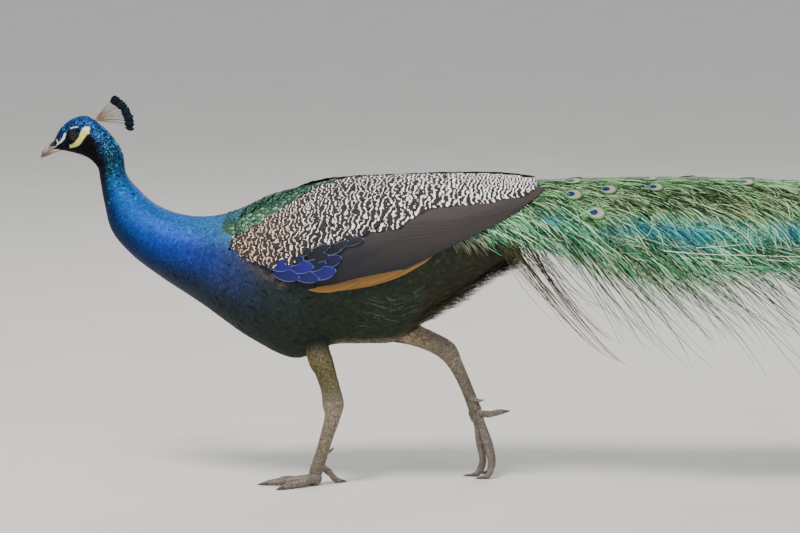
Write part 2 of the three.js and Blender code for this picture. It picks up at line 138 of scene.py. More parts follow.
# ---------------------------------------------------------------- the bird's surfaces
# back x, back z, front x, front z, half width, egg (percent wider towards the back)
BODY = np.array([
    (-1026.5, 531, -1028, 516.5, 7.5, 0),
    (-1016.5, 549.5, -1016, 516.8, 12, -10),
    (-997, 565.3, -998.5, 513.3, 16.5, -5),
    (-976.5, 569.2, -983, 508.6, 18, 0),
    (-956.5, 557, -973.2, 504, 18.5, 0),
    (-937.5, 539, -965.5, 497, 18.5, 0),
    (-922, 514, -959.5, 488.5, 19, 0),
    (-916, 480, -956, 469, 20, 0),
    (-899, 458, -949.5, 431.5, 25, 0),
    (-869.5, 432, -939, 392, 33, 0),
    (-831, 417, -909, 355.5, 44, 0),
    (-788, 414, -865, 321.5, 60, 4),
    (-744, 424, -803, 280.5, 80, 8),
    (-700, 445, -722, 223, 92, 8),
    (-650, 459, -655, 194, 98, 6),
    (-600, 465, -600, 215, 100, 5),
    (-550, 468, -550, 217, 99, 6),
    (-500, 467, -500, 221, 96, 12),
    (-450, 461, -450, 262, 88, 12),
    (-400, 456, -400, 297, 78, 10),
    (-350, 448, -350, 333, 64, 5),
    (-310, 436, -310, 352, 44, 0),
])
SECTIONS = len(BODY) - 1
# x, half width, centre height, top height, inner edge, outer edge (degrees from straight up)
WING = np.array([
    (-762, 82, 335, 434, 44, 61),
    (-744, 90, 330, 440, 40, 70),
    (-700, 101, 326, 454, 31, 80),
    (-650, 108, 327, 466, 21, 88.5),
    (-600, 111, 342, 474, 10, 98),
    (-550, 111, 347, 478, 5, 96.5),
    (-500, 109, 347, 480, 4, 91),
    (-450, 104, 362, 482, 5, 89),
    (-400, 96, 385, 483, 9, 88.5),
    (-350, 83, 405, 483, 13, 85),
    (-310, 67, 426, 480, 16, 79),
    (-276, 50, 446, 475, 32, 58),
])
# x, ridge height, half width, depth from ridge to hem
TRAIN = np.array([
    (-440, 468, 84, 97),
    (-400, 468, 88, 108),
    (-350, 469, 90, 116),
    (-300, 470, 93, 126),
    (-240, 472, 98, 150),
    (-180, 474, 105, 178),
    (-60, 475, 116, 206),
    (60, 473, 123, 206),
    (200, 465, 128, 196),
    (400, 444, 132, 180),
    (600, 410, 132, 160),
    (800, 361, 124, 136),
    (950, 314, 98, 104),
    (1050, 276, 40, 44),
])
# x, y and z of the centre, radius in the plane of the stride, radius across
LEG = {
    -1: np.array([
        (-628, -46, 240, 27, 20),
        (-619.5, -48, 204, 21, 18),
        (-609.5, -48, 178, 16, 14),
        (-602, -45, 152, 15, 12),
        (-598, -43, 128, 16.5, 11),
        (-599, -41, 108, 12.4, 9),
        (-607, -39, 80, 10.4, 7.6),
        (-615, -37, 52, 9.8, 7.4),
        (-624, -36, 24, 10.6, 8.6),
    ]),
    1: np.array([
        (-560, 50, 262, 36, 26),
        (-514, 49, 238, 26, 21),
        (-474, 46, 223, 17.5, 15),
        (-446, 43, 212, 15.5, 12),
        (-422, 41, 198, 15.5, 11),
        (-409, 39, 178, 11.5, 9),
        (-398, 38, 156, 9.8, 7.6),
        (-387, 37, 130, 9.4, 7.4),
        (-377, 36, 104, 10.2, 8.6),
    ]),
}
# How deep the skin lies under the tips of the feathers, mm, for each section of BODY
COAT = np.array([0.5, 0.7, 1.0, 1.4, 1.6, 2, 2.6, 3.2, 4, 5, 6, 7, 8, 9, 10, 11, 12, 12, 13, 12, 10, 8.0])


def coat(t):
    return np.interp(t, np.arange(len(COAT)), COAT)


def body(t, turn, depth=0.0):
    """Head, neck and trunk: t is the section's number and turn the angle from the back line."""
    back, front, girth = (curve(BODY[:, k:k + 2], t) for k in (0, 2, 4))
    axis = back - front
    tall = np.linalg.norm(axis, axis=-1) / 2
    up = unit(axis) * ((tall - depth) * np.cos(turn))[..., None]
    middle = (back + front) / 2 + up
    y = (girth[..., 0] - depth) * np.sin(turn) * (1 + girth[..., 1] / 100 * np.cos(turn))
    return np.stack([middle[..., 0], y, middle[..., 1]], -1) * MM


# The steps in a surface's two numbers over which its normals are measured
body.steps = 0.02, 0.02


def wing_on(side):
    def wing(x, angle, depth=0.0):
        half, centre, top = np.moveaxis(table(WING[:, :4], x), -1, 0)
        a = np.radians(angle)
        y = side * (half - depth) * np.sin(a)
        return together(x, y, centre + (top - centre - depth) * np.cos(a)) * MM

    wing.steps = 2.0, 1.0
    return wing


def wing_angle(x, q):
    """The angle at the share q of the way from the wing's upper edge to its lower one."""
    inner, outer = np.moveaxis(table(WING[:, [0, 4, 5]], x), -1, 0)
    return inner + (outer - inner) * q


def train(x, angle, depth=0.0):
    """The folded train, an arch that hangs straight down past 90 degrees."""
    ridge, half, deep = np.moveaxis(table(TRAIN, x), -1, 0)
    a = np.radians(np.clip(angle, -90, 90))
    below = np.maximum(np.abs(angle) - 90, 0) / 90 * deep * 1.5
    y = (half - depth) * np.sin(a)
    z = ridge - depth - (deep - depth) * (1 - np.cos(a)) - below
    return together(x, y, z) * MM


train.steps = 2.0, 1.0


def leg_on(side):
    rows = LEG[side]

    def leg(t, turn, depth=0.0):
        t = np.asarray(t, float)
        way = curve(rows[:, :3], t)
        along = unit(curve(rows[:, :3], t + 0.05) - curve(rows[:, :3], t - 0.05))
        across = unit(np.array([0, 1.0, 0]) - along * along[..., 1:2])
        deep = np.cross(across, along)
        size = curve(rows[:, 3:5], t) - np.asarray(depth)[..., None]
        return (
            way + deep * (size[..., 0] * np.cos(turn))[..., None]
            + across * (size[..., 1] * np.sin(turn))[..., None]
        ) * MM

    leg.steps = 0.02, 0.02
    return leg


# ---------------------------------------------------------------- meshes from arrays
# How wide one of thousands of small feathers is on an unwrap
SMALL_PATCH = 0.003


def whole(width=0.9):
    """A single patch that fills most of an unwrap."""
    return np.array([[0.5, 0.5]]), width


def cells(n, first=0, last=None):
    """The patches from first up to last of n on an unwrap, where none overlap."""
    across = math.ceil(math.sqrt(n))
    k = np.arange(n)[first:last]
    step = 0.98 / across
    return np.stack([0.01 + (k % across + 0.5) * step, 0.01 + (k // across + 0.5) * step], -1), step * 0.94


def unwrap(t, turn):
    """Small patches at their roots' places on the unwrap of the body."""
    u, v = (turn / (2 * math.pi) + 0.5) % 1, np.clip(t / SECTIONS, 0, 1)
    return np.stack([0.02 + 0.96 * u, 0.02 + 0.96 * v], -1), SMALL_PATCH


class Sheets:
    """Grids of points, each a feather or part of one, gathered into one mesh."""

    def __init__(self):
        self.points, self.faces, self.colours, self.vanes, self.maps, self.count = [], [], [], [], [], 0

    def add(self, points, colour, at, vane=None, ring=False):
        """points is (n, rows, cols, 3); at is the grids' centres (n, 2) on the unwrap and their width."""
        n, rows, cols = points.shape[:3]
        size = rows * cols
        across = cols if ring else cols - 1
        r, c = np.meshgrid(np.arange(rows - 1), np.arange(across), indexing="ij")
        nxt = (c + 1) % cols
        corner = np.stack([r * cols + c, r * cols + nxt, (r + 1) * cols + nxt, (r + 1) * cols + c], -1)
        base = self.count + np.arange(n)[:, None, None] * size
        self.faces.append((corner.reshape(1, -1, 4) + base).reshape(-1, 4))
        self.points.append(points.reshape(-1, 3))
        self.colours.append(np.broadcast_to(colour, (n, rows, cols, 3)).reshape(-1, 3))
        v, u = np.meshgrid(np.linspace(0, 1, rows), np.linspace(-1, 1, cols), indexing="ij")
        if vane is None:
            vane = np.stack([v, u, 0 * u], -1)[None]
        self.vanes.append(np.broadcast_to(vane, (n, rows, cols, 3)).reshape(-1, 3))
        centres, width = at
        self.maps.append((centres[:, None, None] + np.stack([u / 2, v - 0.5], -1) * width).reshape(-1, 2))
        self.count += n * size

    def mesh(self, name):
        points, faces = np.concatenate(self.points), np.concatenate(self.faces)
        me = bpy.data.meshes.new(name)
        me.vertices.add(len(points))
        me.vertices.foreach_set("co", points.astype(np.float32).ravel())
        me.loops.add(faces.size)
        me.loops.foreach_set("vertex_index", faces.astype(np.int32).ravel())
        me.polygons.add(len(faces))
        me.polygons.foreach_set("loop_start", np.arange(0, faces.size, 4, dtype=np.int32))
        me.polygons.foreach_set("loop_total", np.full(len(faces), 4, np.int32))
        me.update(calc_edges=True)
        me.shade_smooth()
        colours = np.concatenate(self.colours)
        shade = me.attributes.new("tint", "FLOAT_COLOR", "POINT")
        shade.data.foreach_set("color", np.c_[colours, np.ones(len(colours))].astype(np.float32).ravel())
        vane = me.attributes.new("vane", "FLOAT_VECTOR", "POINT")
        vane.data.foreach_set("vector", np.concatenate(self.vanes).astype(np.float32).ravel())
        layer = me.uv_layers.new(name="OFBake")
        layer.uv.foreach_set("vector", np.concatenate(self.maps)[faces.ravel()].astype(np.float32).ravel())
        me.validate()
        return me

    def piece(self, name, look, nodes=()):
        """The gathered sheets as one visible piece, in place of the CAD nodes named."""
        me = self.mesh(name)
        me.materials.append(LOOKS[look])
        ob = bpy.data.objects.new(name, me)
        bpy.context.scene.collection.objects.link(ob)
        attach(ob, "root")
        if nodes:
            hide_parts(*nodes)


def capped(grid):
    """A tube's grid (rows, cols, 3) with each end drawn in to a point, ready for Sheets.add."""
    first, last = (np.broadcast_to(row.mean(1, keepdims=True), row.shape) for row in (grid[:1], grid[-1:]))
    return np.concatenate([first, grid, last])[None]


def ended(values):
    """Values on a tube's grid, repeated at both ends to match capped()."""
    return np.concatenate([values[:1], values, values[-1:]])[None]


def normals(surface, a, b):
    """Unit normals of surface, pointing away from the middle of the bird's own tube."""
    da, db = surface.steps
    along = surface(a + da, b) - surface(a - da, b)
    round_it = surface(a, b + db) - surface(a, b - db)
    n = unit(np.cross(along, round_it))
    inwards = surface(a, b, 1.0) - surface(a, b)
    return n * -np.sign(np.sum(n * inwards, -1, keepdims=True))


PLUME = ((0, 0.45), (0.3, 0.85), (0.65, 1.0), (0.88, 0.8), (1, 0.35))
CLOSE = ((0, 0.45), (0.3, 0.85), (0.65, 1.0), (0.9, 1.0), (1, 0.8))


def between(start, end, rows, sway=0.0):
    """Ways (n, rows, 2) from start to end, which bow by sway in their second number."""
    v = np.linspace(0, 1, rows)
    way = start[:, None] + (end - start)[:, None] * v[None, :, None]
    way[..., 1] += np.broadcast_to(sway, (len(start),))[:, None] * np.sin(v * math.pi)[None]
    return way


def lay(surface, way, low, high, width, cols=3, outline=PLUME, fray=0.0, camber=3.0, blunt=0.3):
    """Feathers that hug a surface along their ways and rise from depth low to depth high (mm)."""
    n, rows = way.shape[:2]
    v, u = np.linspace(0, 1, rows), np.linspace(-1, 1, cols)
    p = surface(way[..., 0], way[..., 1])
    out = normals(surface, way[..., 0], way[..., 1])
    low, high = np.broadcast_to(low, (n,))[:, None], np.broadcast_to(high, (n,))[:, None]
    p = p - out * ((low + (high - low) * (1 - (1 - v[None]) ** 2.2)) * MM)[..., None]
    along = np.gradient(p, axis=1)
    reach = np.linalg.norm(p[:, -1] - p[:, 0], axis=-1)
    along = unit(along)
    across = unit(np.cross(out, along))
    xs, ys = np.array(outline).T
    w = np.broadcast_to(width, (n,))[:, None] * MM / 2 * np.interp(v, xs, ys)[None]
    off = w[:, :, None] * u
    grid = p[:, :, None] + across[:, :, None] * off[..., None]
    grid -= out[:, :, None] * (camber * off**2)[..., None]
    back = blunt * w[:, :, None] * (u**2) * v[None, :, None] ** 2
    if fray:
        back = back + fray * reach[:, None, None] * rng.random((n, 1, cols)) * v[None, :, None] ** 4
    return grid - along[:, :, None] * back[..., None]


# ---------------------------------------------------------------- materials
class Graph:
    """The nodes of one material, with short ways to add more and link them."""

    def __init__(self, name):
        self.material = bpy.data.materials.new(name)
        self.material.use_nodes = True
        self.nodes, self.links = self.material.node_tree.nodes, self.material.node_tree.links
        self.shader = self.nodes["Principled BSDF"]

    def add(self, kind, inputs=(), **values):
        """A node with its settings, and its inputs' values by number or name."""
        made = self.nodes.new("ShaderNode" + kind)
        for key, value in values.items():
            setattr(made, key, value)
        for slot, value in dict(inputs).items():
            self.put(made.inputs[slot], value)
        return made

    def put(self, socket, value):
        if isinstance(value, bpy.types.NodeSocket):
            self.links.new(value, socket)
        elif isinstance(value, (tuple, np.ndarray)):
            socket.default_value = (*value, 1)
        else:
            socket.default_value = value

    def surface(self, metallic, roughness, sheen=0.0, specular=0.5):
        for name, value in (("Metallic", metallic), ("Roughness", roughness), ("Sheen Weight", sheen),
                            ("Specular IOR Level", specular)):
            self.shader.inputs[name].default_value = value

    def colour(self, value):
        self.put(self.shader.inputs["Base Color"], value)

    def tint(self):
        return self.add("Attribute", attribute_name="tint", attribute_type="GEOMETRY").outputs["Color"]

    def vane(self):
        return self.add("Attribute", attribute_name="vane", attribute_type="GEOMETRY").outputs["Vector"]

    def parts(self, vector):
        return self.add("SeparateXYZ", {0: vector}).outputs

    def maths(self, operation, *values):
        return self.add("Math", dict(enumerate(values)), operation=operation).outputs[0]

    def blend(self, a, b, factor, kind="MIX"):
        return self.add("Mix", {0: factor, 6: a, 7: b}, data_type="RGBA", blend_type=kind).outputs[2]

    def shaded(self, colour, shade):
        return self.blend(colour, shade, 1.0, "MULTIPLY")

    def ramp(self, value, *stops):
        """Colours, or greys given as one number each, at the stops of a ramp."""
        made = self.add("ValToRGB", {0: value})
        elements = made.color_ramp.elements
        while len(elements) < len(stops):
            elements.new(0.5)
        for element, (at, colour) in zip(elements, stops):
            element.position = at
            element.color = (*((colour,) * 3 if np.ndim(colour) == 0 else colour), 1)
        return made.outputs[0]

    def noise(self, scale, detail, at=None):
        if at is None:
            at = self.add("TexCoord").outputs["Object"]
        return self.add("TexNoise", {"Vector": at, "Scale": scale, "Detail": detail}).outputs["Fac"]

    def cells(self, scale, at=None, **values):
        if at is None:
            at = self.add("TexCoord").outputs["Object"]
        return self.add("TexVoronoi", {"Vector": at, "Scale": scale}, **values).outputs

    def bump(self, height, strength, distance):
        made = self.add("Bump", {"Height": height, "Strength": strength, "Distance": distance})
        self.links.new(made.outputs[0], self.shader.inputs["Normal"])

    def barbs(self, vane, lean, fine, wide, own, detail):
        """Noise drawn out into the slanting barbs of a feather, from its vane."""
        slant = self.maths("MULTIPLY_ADD", self.maths("ABSOLUTE", vane[1]), -lean, vane[0])
        sizes = zip((slant, vane[1], vane[2]), (fine, wide, own))
        place = self.add("CombineXYZ", {k: self.maths("MULTIPLY", *pair) for k, pair in enumerate(sizes)})
        return self.noise(1.0, detail, place.outputs[0])


def plumage(metallic, roughness, contrast, specular=0.5):
    """Feathers coloured by their points, with fine barbs that run out from the shaft."""
    def build(g):
        g.surface(metallic, roughness, specular=specular)
        barbs = g.barbs(g.parts(g.vane()), 0.35, 26.0, 1.2, 31.0, 3.0)
        shade = g.ramp(barbs, (0.3, 1 - contrast), (0.7, 1 + contrast * 0.6))
        g.colour(g.shaded(g.tint(), shade))
    return build


def skin_look(g):
    g.surface(0.0, 0.62, specular=0.35)
    g.colour(g.shaded(g.tint(), g.ramp(g.noise(300.0, 4.0), (0.2, 0.8), (0.8, 1.1))))
    g.bump(g.cells(900.0)["Distance"], 0.35, 0.0004)


def barred_look(g):
    """Wavy dark and pale bars. vane is (phase, across, own number), tint is (0, paleness, warmth)."""
    g.surface(0.0, 0.7, sheen=0.1, specular=0.3)
    look = g.add("SeparateColor", {0: g.tint()}).outputs
    phase = g.maths("MULTIPLY_ADD", g.noise(100.0, 2.0), 11.0, g.parts(g.vane())[0])
    height = g.maths("MULTIPLY_ADD", g.noise(240.0, 2.0), 1.2, g.maths("SINE", phase))
    level = g.maths("SUBTRACT", height, g.maths("SUBTRACT", 1.35, look[1]))
    edge = g.ramp(g.maths("MULTIPLY_ADD", level, 1.2, 0.5), (0.44, 0.0), (0.56, 1.0))
    dark = g.blend(rgb(36, 30, 29), rgb(52, 38, 32), look[2])
    pale = g.blend(rgb(250, 243, 238), rgb(220, 190, 160), look[2])
    g.colour(g.blend(dark, pale, edge))


def rimmed_look(rim, width):
    """Coverts with a fine edge of the colour rim. vane is (along, across, random)."""
    def build(g):
        g.surface(0.35, 0.42)
        vane = g.parts(g.vane())
        end = g.maths("MULTIPLY_ADD", vane[0], 3.0, -2.0)
        far = g.maths("MAXIMUM", g.maths("ABSOLUTE", vane[1]), end)
        g.colour(g.blend(g.tint(), rim, g.ramp(far, (1 - width, 0.0), (1 - width * 0.6, 1.0))))
    return build


def flight_look(g):
    """Flight feathers: fine slanting barbs and a thin shaft."""
    g.surface(0.0, 0.6, sheen=0.04, specular=0.3)
    vane = g.parts(g.vane())
    barbs = g.barbs(vane, 0.25, 90.0, 1.5, 17.0, 4.0)
    vanes = g.shaded(g.tint(), g.ramp(barbs, (0.3, 0.72), (0.72, 1.2)))
    shaft = g.ramp(g.maths("ABSOLUTE", vane[1]), (0.0, 1.0), (0.035, 0.0))
    g.colour(g.blend(vanes, rgb(40, 32, 28), shaft))
    g.bump(barbs, 0.25, 0.0004)


def eyespot_look(g):
    """The rings of an ocellus, from the place across it that vane's first two numbers give."""
    g.surface(0.15, 0.55, specular=0.3)
    vane = g.parts(g.vane())

    def distance(along):
        squares = (g.maths("MULTIPLY", way, way) for way in (along, vane[1]))
        return g.maths("SQRT", g.maths("ADD", *squares))

    near = distance(g.maths("ADD", vane[0], 0.3))
    outer = g.ramp(
        distance(vane[0]), (0.0, rgb(150, 130, 114)), (0.62, rgb(160, 148, 124)), (0.7, rgb(122, 150, 112)),
        (0.77, rgb(52, 122, 98)), (0.84, rgb(104, 112, 58)), (0.92, rgb(48, 98, 58)), (1.0, rgb(40, 80, 48)))
    ringed = g.blend(outer, rgb(50, 140, 150), g.ramp(near, (0.48, 1.0), (0.53, 0.0)))
    g.colour(g.blend(ringed, rgb(16, 14, 60), g.ramp(near, (0.4, 1.0), (0.45, 0.0))))


def horn_look(g):
    g.surface(0.0, 0.38)
    grain = g.noise(260.0, 5.0)
    g.colour(g.shaded(g.tint(), g.ramp(grain, (0.3, 0.7), (0.7, 1.15))))
    g.bump(grain, 0.2, 0.0003)


def scale_look(g):
    """Horny scales: vane is (along the limb in mm, around it in mm, side)."""
    g.surface(0.0, 0.5, specular=0.45)
    vane = g.vane()
    crack = g.ramp(g.cells(0.28, vane, feature="DISTANCE_TO_EDGE")["Distance"], (0.02, 0.42), (0.16, 1.0))
    own = g.add("SeparateColor", {0: g.cells(0.28, vane)["Color"]}).outputs[0]
    scales = g.shaded(g.tint(), g.ramp(own, (0.0, 0.75), (1.0, 1.25)))
    g.colour(g.shaded(scales, crack))
    g.bump(crack, 0.6, 0.0006)


def eye_look(g):
    """vane's first number is the distance from the middle of the cornea, as a share of the eye's radius."""
    g.surface(0.0, 0.08, specular=0.35)
    g.colour(g.ramp(
        g.parts(g.vane())[0], (0.0, rgb(4, 3, 3)), (0.3, rgb(4, 3, 3)), (0.34, rgb(38, 22, 14)),
        (0.6, rgb(28, 17, 12)), (0.66, rgb(14, 9, 8)), (1.0, rgb(20, 16, 16))))


def floor_look(g):
    g.surface(0.0, 0.9)
    colour = rgb(214, 210, 202)
    g.colour(g.ramp(g.noise(6.0, 6.0), (0.3, colour * 0.97), (0.7, colour * 1.02)))


def finished(name, build):
    graph = Graph("peacock_" + name)
    build(graph)
    return graph.material


LOOKS = {name: finished(name, build) for name, build in {
    "skin": skin_look,
    "sheen": plumage(0.4, 0.55, 0.12, specular=0.15),
    "soft": plumage(0.1, 0.65, 0.12, specular=0.15),
    "mantle": rimmed_look(rgb(8, 18, 16), 0.42),
    "matt": plumage(0.0, 0.75, 0.2),
    "barred": barred_look,
    "blue_rimmed": rimmed_look(rgb(100, 124, 176), 0.09),
    "flight": flight_look,
    "barbs": plumage(0.2, 0.6, 0.0, specular=0.12),
    "ocellus": eyespot_look,
    "horn": horn_look,
    "scales": scale_look,
    "eye": eye_look,
    "stage": floor_look,
}.items()}

# ---------------------------------------------------------------- camera, light and floor
AIM = np.array([-0.495, 0, 0.336])
ELEVATION = math.radians(7.5)
DISTANCE = 6.0
camera = bpy.data.objects.new("camera", bpy.data.cameras.new("camera"))
bpy.context.scene.collection.objects.link(camera)
camera.data.lens = 174.9
camera.data.sensor_width = 36
camera.location = AIM + DISTANCE * np.array([0, -math.cos(ELEVATION), math.sin(ELEVATION)])
camera.rotation_euler = (math.pi / 2 - ELEVATION, 0, 0)
bpy.context.scene.camera = camera


def lamp(name, at, target, size, power, colour):
    light = bpy.data.lights.new(name, "AREA")
    light.shape, light.size, light.energy, light.color = "DISK", size, power, colour
    ob = bpy.data.objects.new(name, light)
    bpy.context.scene.collection.objects.link(ob)
    ob.location = at
    way = np.array(target) - np.array(at)
    ob.rotation_euler = (math.acos(-way[2] / np.linalg.norm(way)), 0, math.atan2(-way[0], way[1]))


lamp("key", (-1.9, -1.9, 3.9), (-0.35, 0, 0.35), 1.3, 215, (1.0, 0.97, 0.92))
lamp("fill", (2.4, -3.4, 1.9), (-0.2, 0, 0.35), 2.6, 58, (0.92, 0.96, 1.0))
lamp("rim", (0.6, 3.0, 2.6), (-0.3, 0, 0.35), 2.0, 50, (1.0, 0.98, 0.95))
world = bpy.data.worlds.new("studio")
bpy.context.scene.world = world
world.use_nodes = True
world.node_tree.nodes["Background"].inputs[0].default_value = (0.86, 0.9, 0.96, 1)
world.node_tree.nodes["Background"].inputs[1].default_value = 0.75

floor_mesh = bpy.data.meshes.new("floor")
floor_mesh.from_pydata([(-40, -12, 0), (40, -12, 0), (40, 60, 0), (-40, 60, 0)], [], [(0, 1, 2, 3)])
floor = bpy.data.objects.new("floor", floor_mesh)
bpy.context.scene.collection.objects.link(floor)
floor_mesh.materials.append(LOOKS["stage"])

# ---------------------------------------------------------------- face marks, in side view (x, z), mm
EYE = (-996, 540.5)
EYE_Y = 10.6
EYE_RADIUS = 7.2
CREAM_PATCH = [
    (-981.5, 551.7), (-977.5, 554.7), (-972.7, 555), (-969.1, 552.5), (-971.5, 548.3), (-970.2, 543.5),
    (-974.4, 542.4), (-977.6, 538.2), (-981.2, 533.2), (-984.2, 528.2), (-988.6, 524.3), (-993.6, 522.2),
    (-998.5, 521.2), (-1002.5, 519.8), (-1001.4, 523.3), (-1002.3, 525.4), (-998.4, 526.6), (-993.5, 530.2),
    (-989.5, 535.6), (-986.5, 540), (-985, 546),
]
# x, z and half width
FRONT_STRIPE = [
    (-1008.5, 544, 1.5), (-1011, 536, 1.9), (-1016, 530, 1.3), (-1019, 528.2, 1.2), (-1025, 522.3, 1.2),
]
STRIPE_BRANCH = [(-1022.3, 533.6, 0.8), (-1020.8, 530.2, 0.8), (-1019, 528.7, 1.0)]
BROW_LINE = [(-999.6, 551.7, 0.9), (-995.2, 553.2, 1.1), (-987.8, 554.2, 0.6)]
# The edge of the dark throat and ear, behind which the blue begins: z and x
DARK_EDGE = np.array([
    (470, -953), (485, -953), (505, -955), (515, -957), (526, -956), (535, -963), (548, -970), (556, -978),
])


def to_segments(x, z, points, closed=False):
    points = np.array(points, float)
    ends = np.roll(points, -1, 0) if closed else points[1:]
    starts = points if closed else points[:-1]
    nearest = np.full(np.shape(x), 1e9)
    for (ax, az), (bx, bz) in zip(starts, ends):
        dx, dz = bx - ax, bz - az
        w = np.clip(((x - ax) * dx + (z - az) * dz) / (dx * dx + dz * dz), 0, 1)
        nearest = np.minimum(nearest, np.hypot(x - ax - w * dx, z - az - w * dz))
    return nearest


def inside(x, z, points):
    points = np.array(points, float)
    hit = np.zeros(np.shape(x), bool)
    for (ax, az), (bx, bz) in zip(points, np.roll(points, -1, 0)):
        crosses = (az > z) != (bz > z)
        at = ax + (z - az) * (bx - ax) / np.where(bz == az, 1e-9, bz - az)
        hit ^= crosses & (x < at)
    return hit


def stroke(x, z, points):
    """1 on a line whose half width is each point's third number, 0 off it."""
    best = np.zeros(np.shape(x))
    for (ax, az, aw), (bx, bz, bw) in zip(points, points[1:]):
        dx, dz = bx - ax, bz - az
        w = np.clip(((x - ax) * dx + (z - az) * dz) / (dx * dx + dz * dz), 0, 1)
        off = np.hypot(x - ax - w * dx, z - az - w * dz) - (aw + (bw - aw) * w)
        best = np.maximum(best, 1 - step_up(off, -0.3, 0.4))
    return best


def bare(x, z):
    """The face's cream patch and its pale stripes, 0 to 1, for points on the sides of the head."""
    patch = to_segments(x, z, CREAM_PATCH, True) * np.where(inside(x, z, CREAM_PATCH), -1, 1)
    cream = 1 - step_up(patch, -0.5, 0.4)
    return cream, np.maximum.reduce([stroke(x, z, line) for line in (FRONT_STRIPE, STRIPE_BRANCH, BROW_LINE)])


# Plumage colours along the back, the sides and the front, at sections of BODY
HUES = {
    0: ((24, 40, 84), (14, 22, 46), (8, 11, 16)),
    2: ((30, 76, 144), (20, 40, 92), (7, 10, 14)),
    4: ((28, 84, 150), (26, 68, 122), (6, 10, 12)),
    5.2: ((26, 76, 120), (20, 54, 70), (8, 14, 16)),
    6.3: ((24, 72, 104), (22, 62, 82), (8, 18, 24)),
    7.1: ((26, 90, 154), (25, 92, 162), (10, 28, 46)),
    8: ((22, 92, 168), (19, 86, 170), (13, 38, 78)),
    9.2: ((24, 88, 164), (18, 72, 158), (14, 38, 82)),
    10.4: ((38, 102, 172), (25, 60, 156), (18, 38, 86)),
    11.3: ((48, 110, 166), (34, 56, 134), (22, 37, 62)),
    12.2: ((60, 122, 136), (40, 54, 100), (28, 38, 46)),
    13: ((30, 92, 80), (36, 46, 54), (28, 38, 34)),
    14: ((44, 92, 66), (34, 44, 40), (30, 40, 30)),
    16: ((50, 84, 56), (38, 48, 38), (34, 42, 30)),
    18: ((50, 78, 46), (42, 48, 36), (38, 38, 26)),
    21: ((46, 70, 40), (46, 44, 30), (42, 38, 26)),
}


def coat_colour(t, turn):
    stops = np.array(list(HUES))
    colours = np.array([[rgb(*c) for c in three] for three in HUES.values()])
    back, side, front = (
        np.stack([np.interp(t, stops, colours[:, k, i]) for i in range(3)], -1) for k in range(3)
    )
    c = np.cos(turn)
    return mix(mix(side, back, step_up(c, 0.15, 0.85)), front, step_up(-c, 0.0, 0.75))


def head_colour(t, turn, p):
    """coat_colour with the face's dark mask and pale marks, and how much of a pale mark each place is."""
    colour = coat_colour(t, turn)
    x, z = p[..., 0] / MM, p[..., 2] / MM
    on_side = step_up(np.abs(np.sin(turn)), 0.25, 0.6) * (t < 8)
    near_eye = np.hypot((x - EYE[0] - 2) / 1.45, z - EYE[1] + 1)
    colour = mix(colour, rgb(14, 16, 24), on_side * (1 - step_up(near_eye, 9.5, 13)))
    ahead = np.interp(z, *DARK_EDGE.T) - x
    throat = step_up(ahead + 4.5 * ripple(x * 11, z * 11, 4, 46), -5, 4)
    throat = throat * (1 - step_up(z, 543, 553)) * (x > -1000)
    colour = mix(colour, rgb(17, 18, 21), on_side * throat)
    cream, stripe = bare(x, z)
    blotch = 1 + 0.14 * ripple(x * 9, z * 9, 3, 40)
    pale = hues((208, 206, 104), (238, 235, 224), step_up(z + 0.5 * (x + 975), 545, 549))
    colour = mix(colour, pale * blotch[..., None], cream * on_side)
    colour = mix(colour, rgb(206, 216, 196), stripe * on_side)
    return colour, np.maximum(cream, stripe) * on_side


# ---------------------------------------------------------------- skin
def closed_tube(surface, stations, turns, depth_at):
    t, a = np.meshgrid(stations, turns, indexing="ij")
    return capped(surface(t, a, depth_at(t)))[0]


def grid_mesh(name, grid):
    rows, cols = grid.shape[:2]
    r, c = np.meshgrid(np.arange(rows - 1), np.arange(cols), indexing="ij")
    n = (c + 1) % cols
    faces = np.stack([r * cols + c, r * cols + n, (r + 1) * cols + n, (r + 1) * cols + c], -1).reshape(-1, 4)
    me = bpy.data.meshes.new(name)
    me.from_pydata(grid.reshape(-1, 3).tolist(), [], faces.tolist())
    ob = bpy.data.objects.new(name, me)
    bpy.context.scene.collection.objects.link(ob)
    select_only(ob)
    bpy.ops.object.mode_set(mode="EDIT")
    bpy.ops.mesh.select_all(action="SELECT")
    bpy.ops.mesh.remove_doubles(threshold=1e-6)
    bpy.ops.mesh.normals_make_consistent(inside=False)
    bpy.ops.object.mode_set(mode="OBJECT")
    return ob


def select_only(ob):
    bpy.ops.object.select_all(action="DESELECT")
    ob.select_set(True)
    bpy.context.view_layer.objects.active = ob


def eye_socket(p):
    """Skin points near an eye: sunk under the eyeball, and raised into a lid around it."""
    for side in (-1, 1):
        x, z = p[..., 0] / MM - EYE[0], p[..., 2] / MM - EYE[1]
        ring = np.hypot(x, z * 1.15)
        near = (np.sign(p[..., 1]) == side) & (ring < 12)
        sink = (1 - step_up(ring, 4.6, 6.4)) * 5.0
        rise = np.exp(-(((ring - 7.2) / 1.5) ** 2)) * 0.9
        p[..., 1] += np.where(near, side * (rise - sink) * MM, 0)
    return p


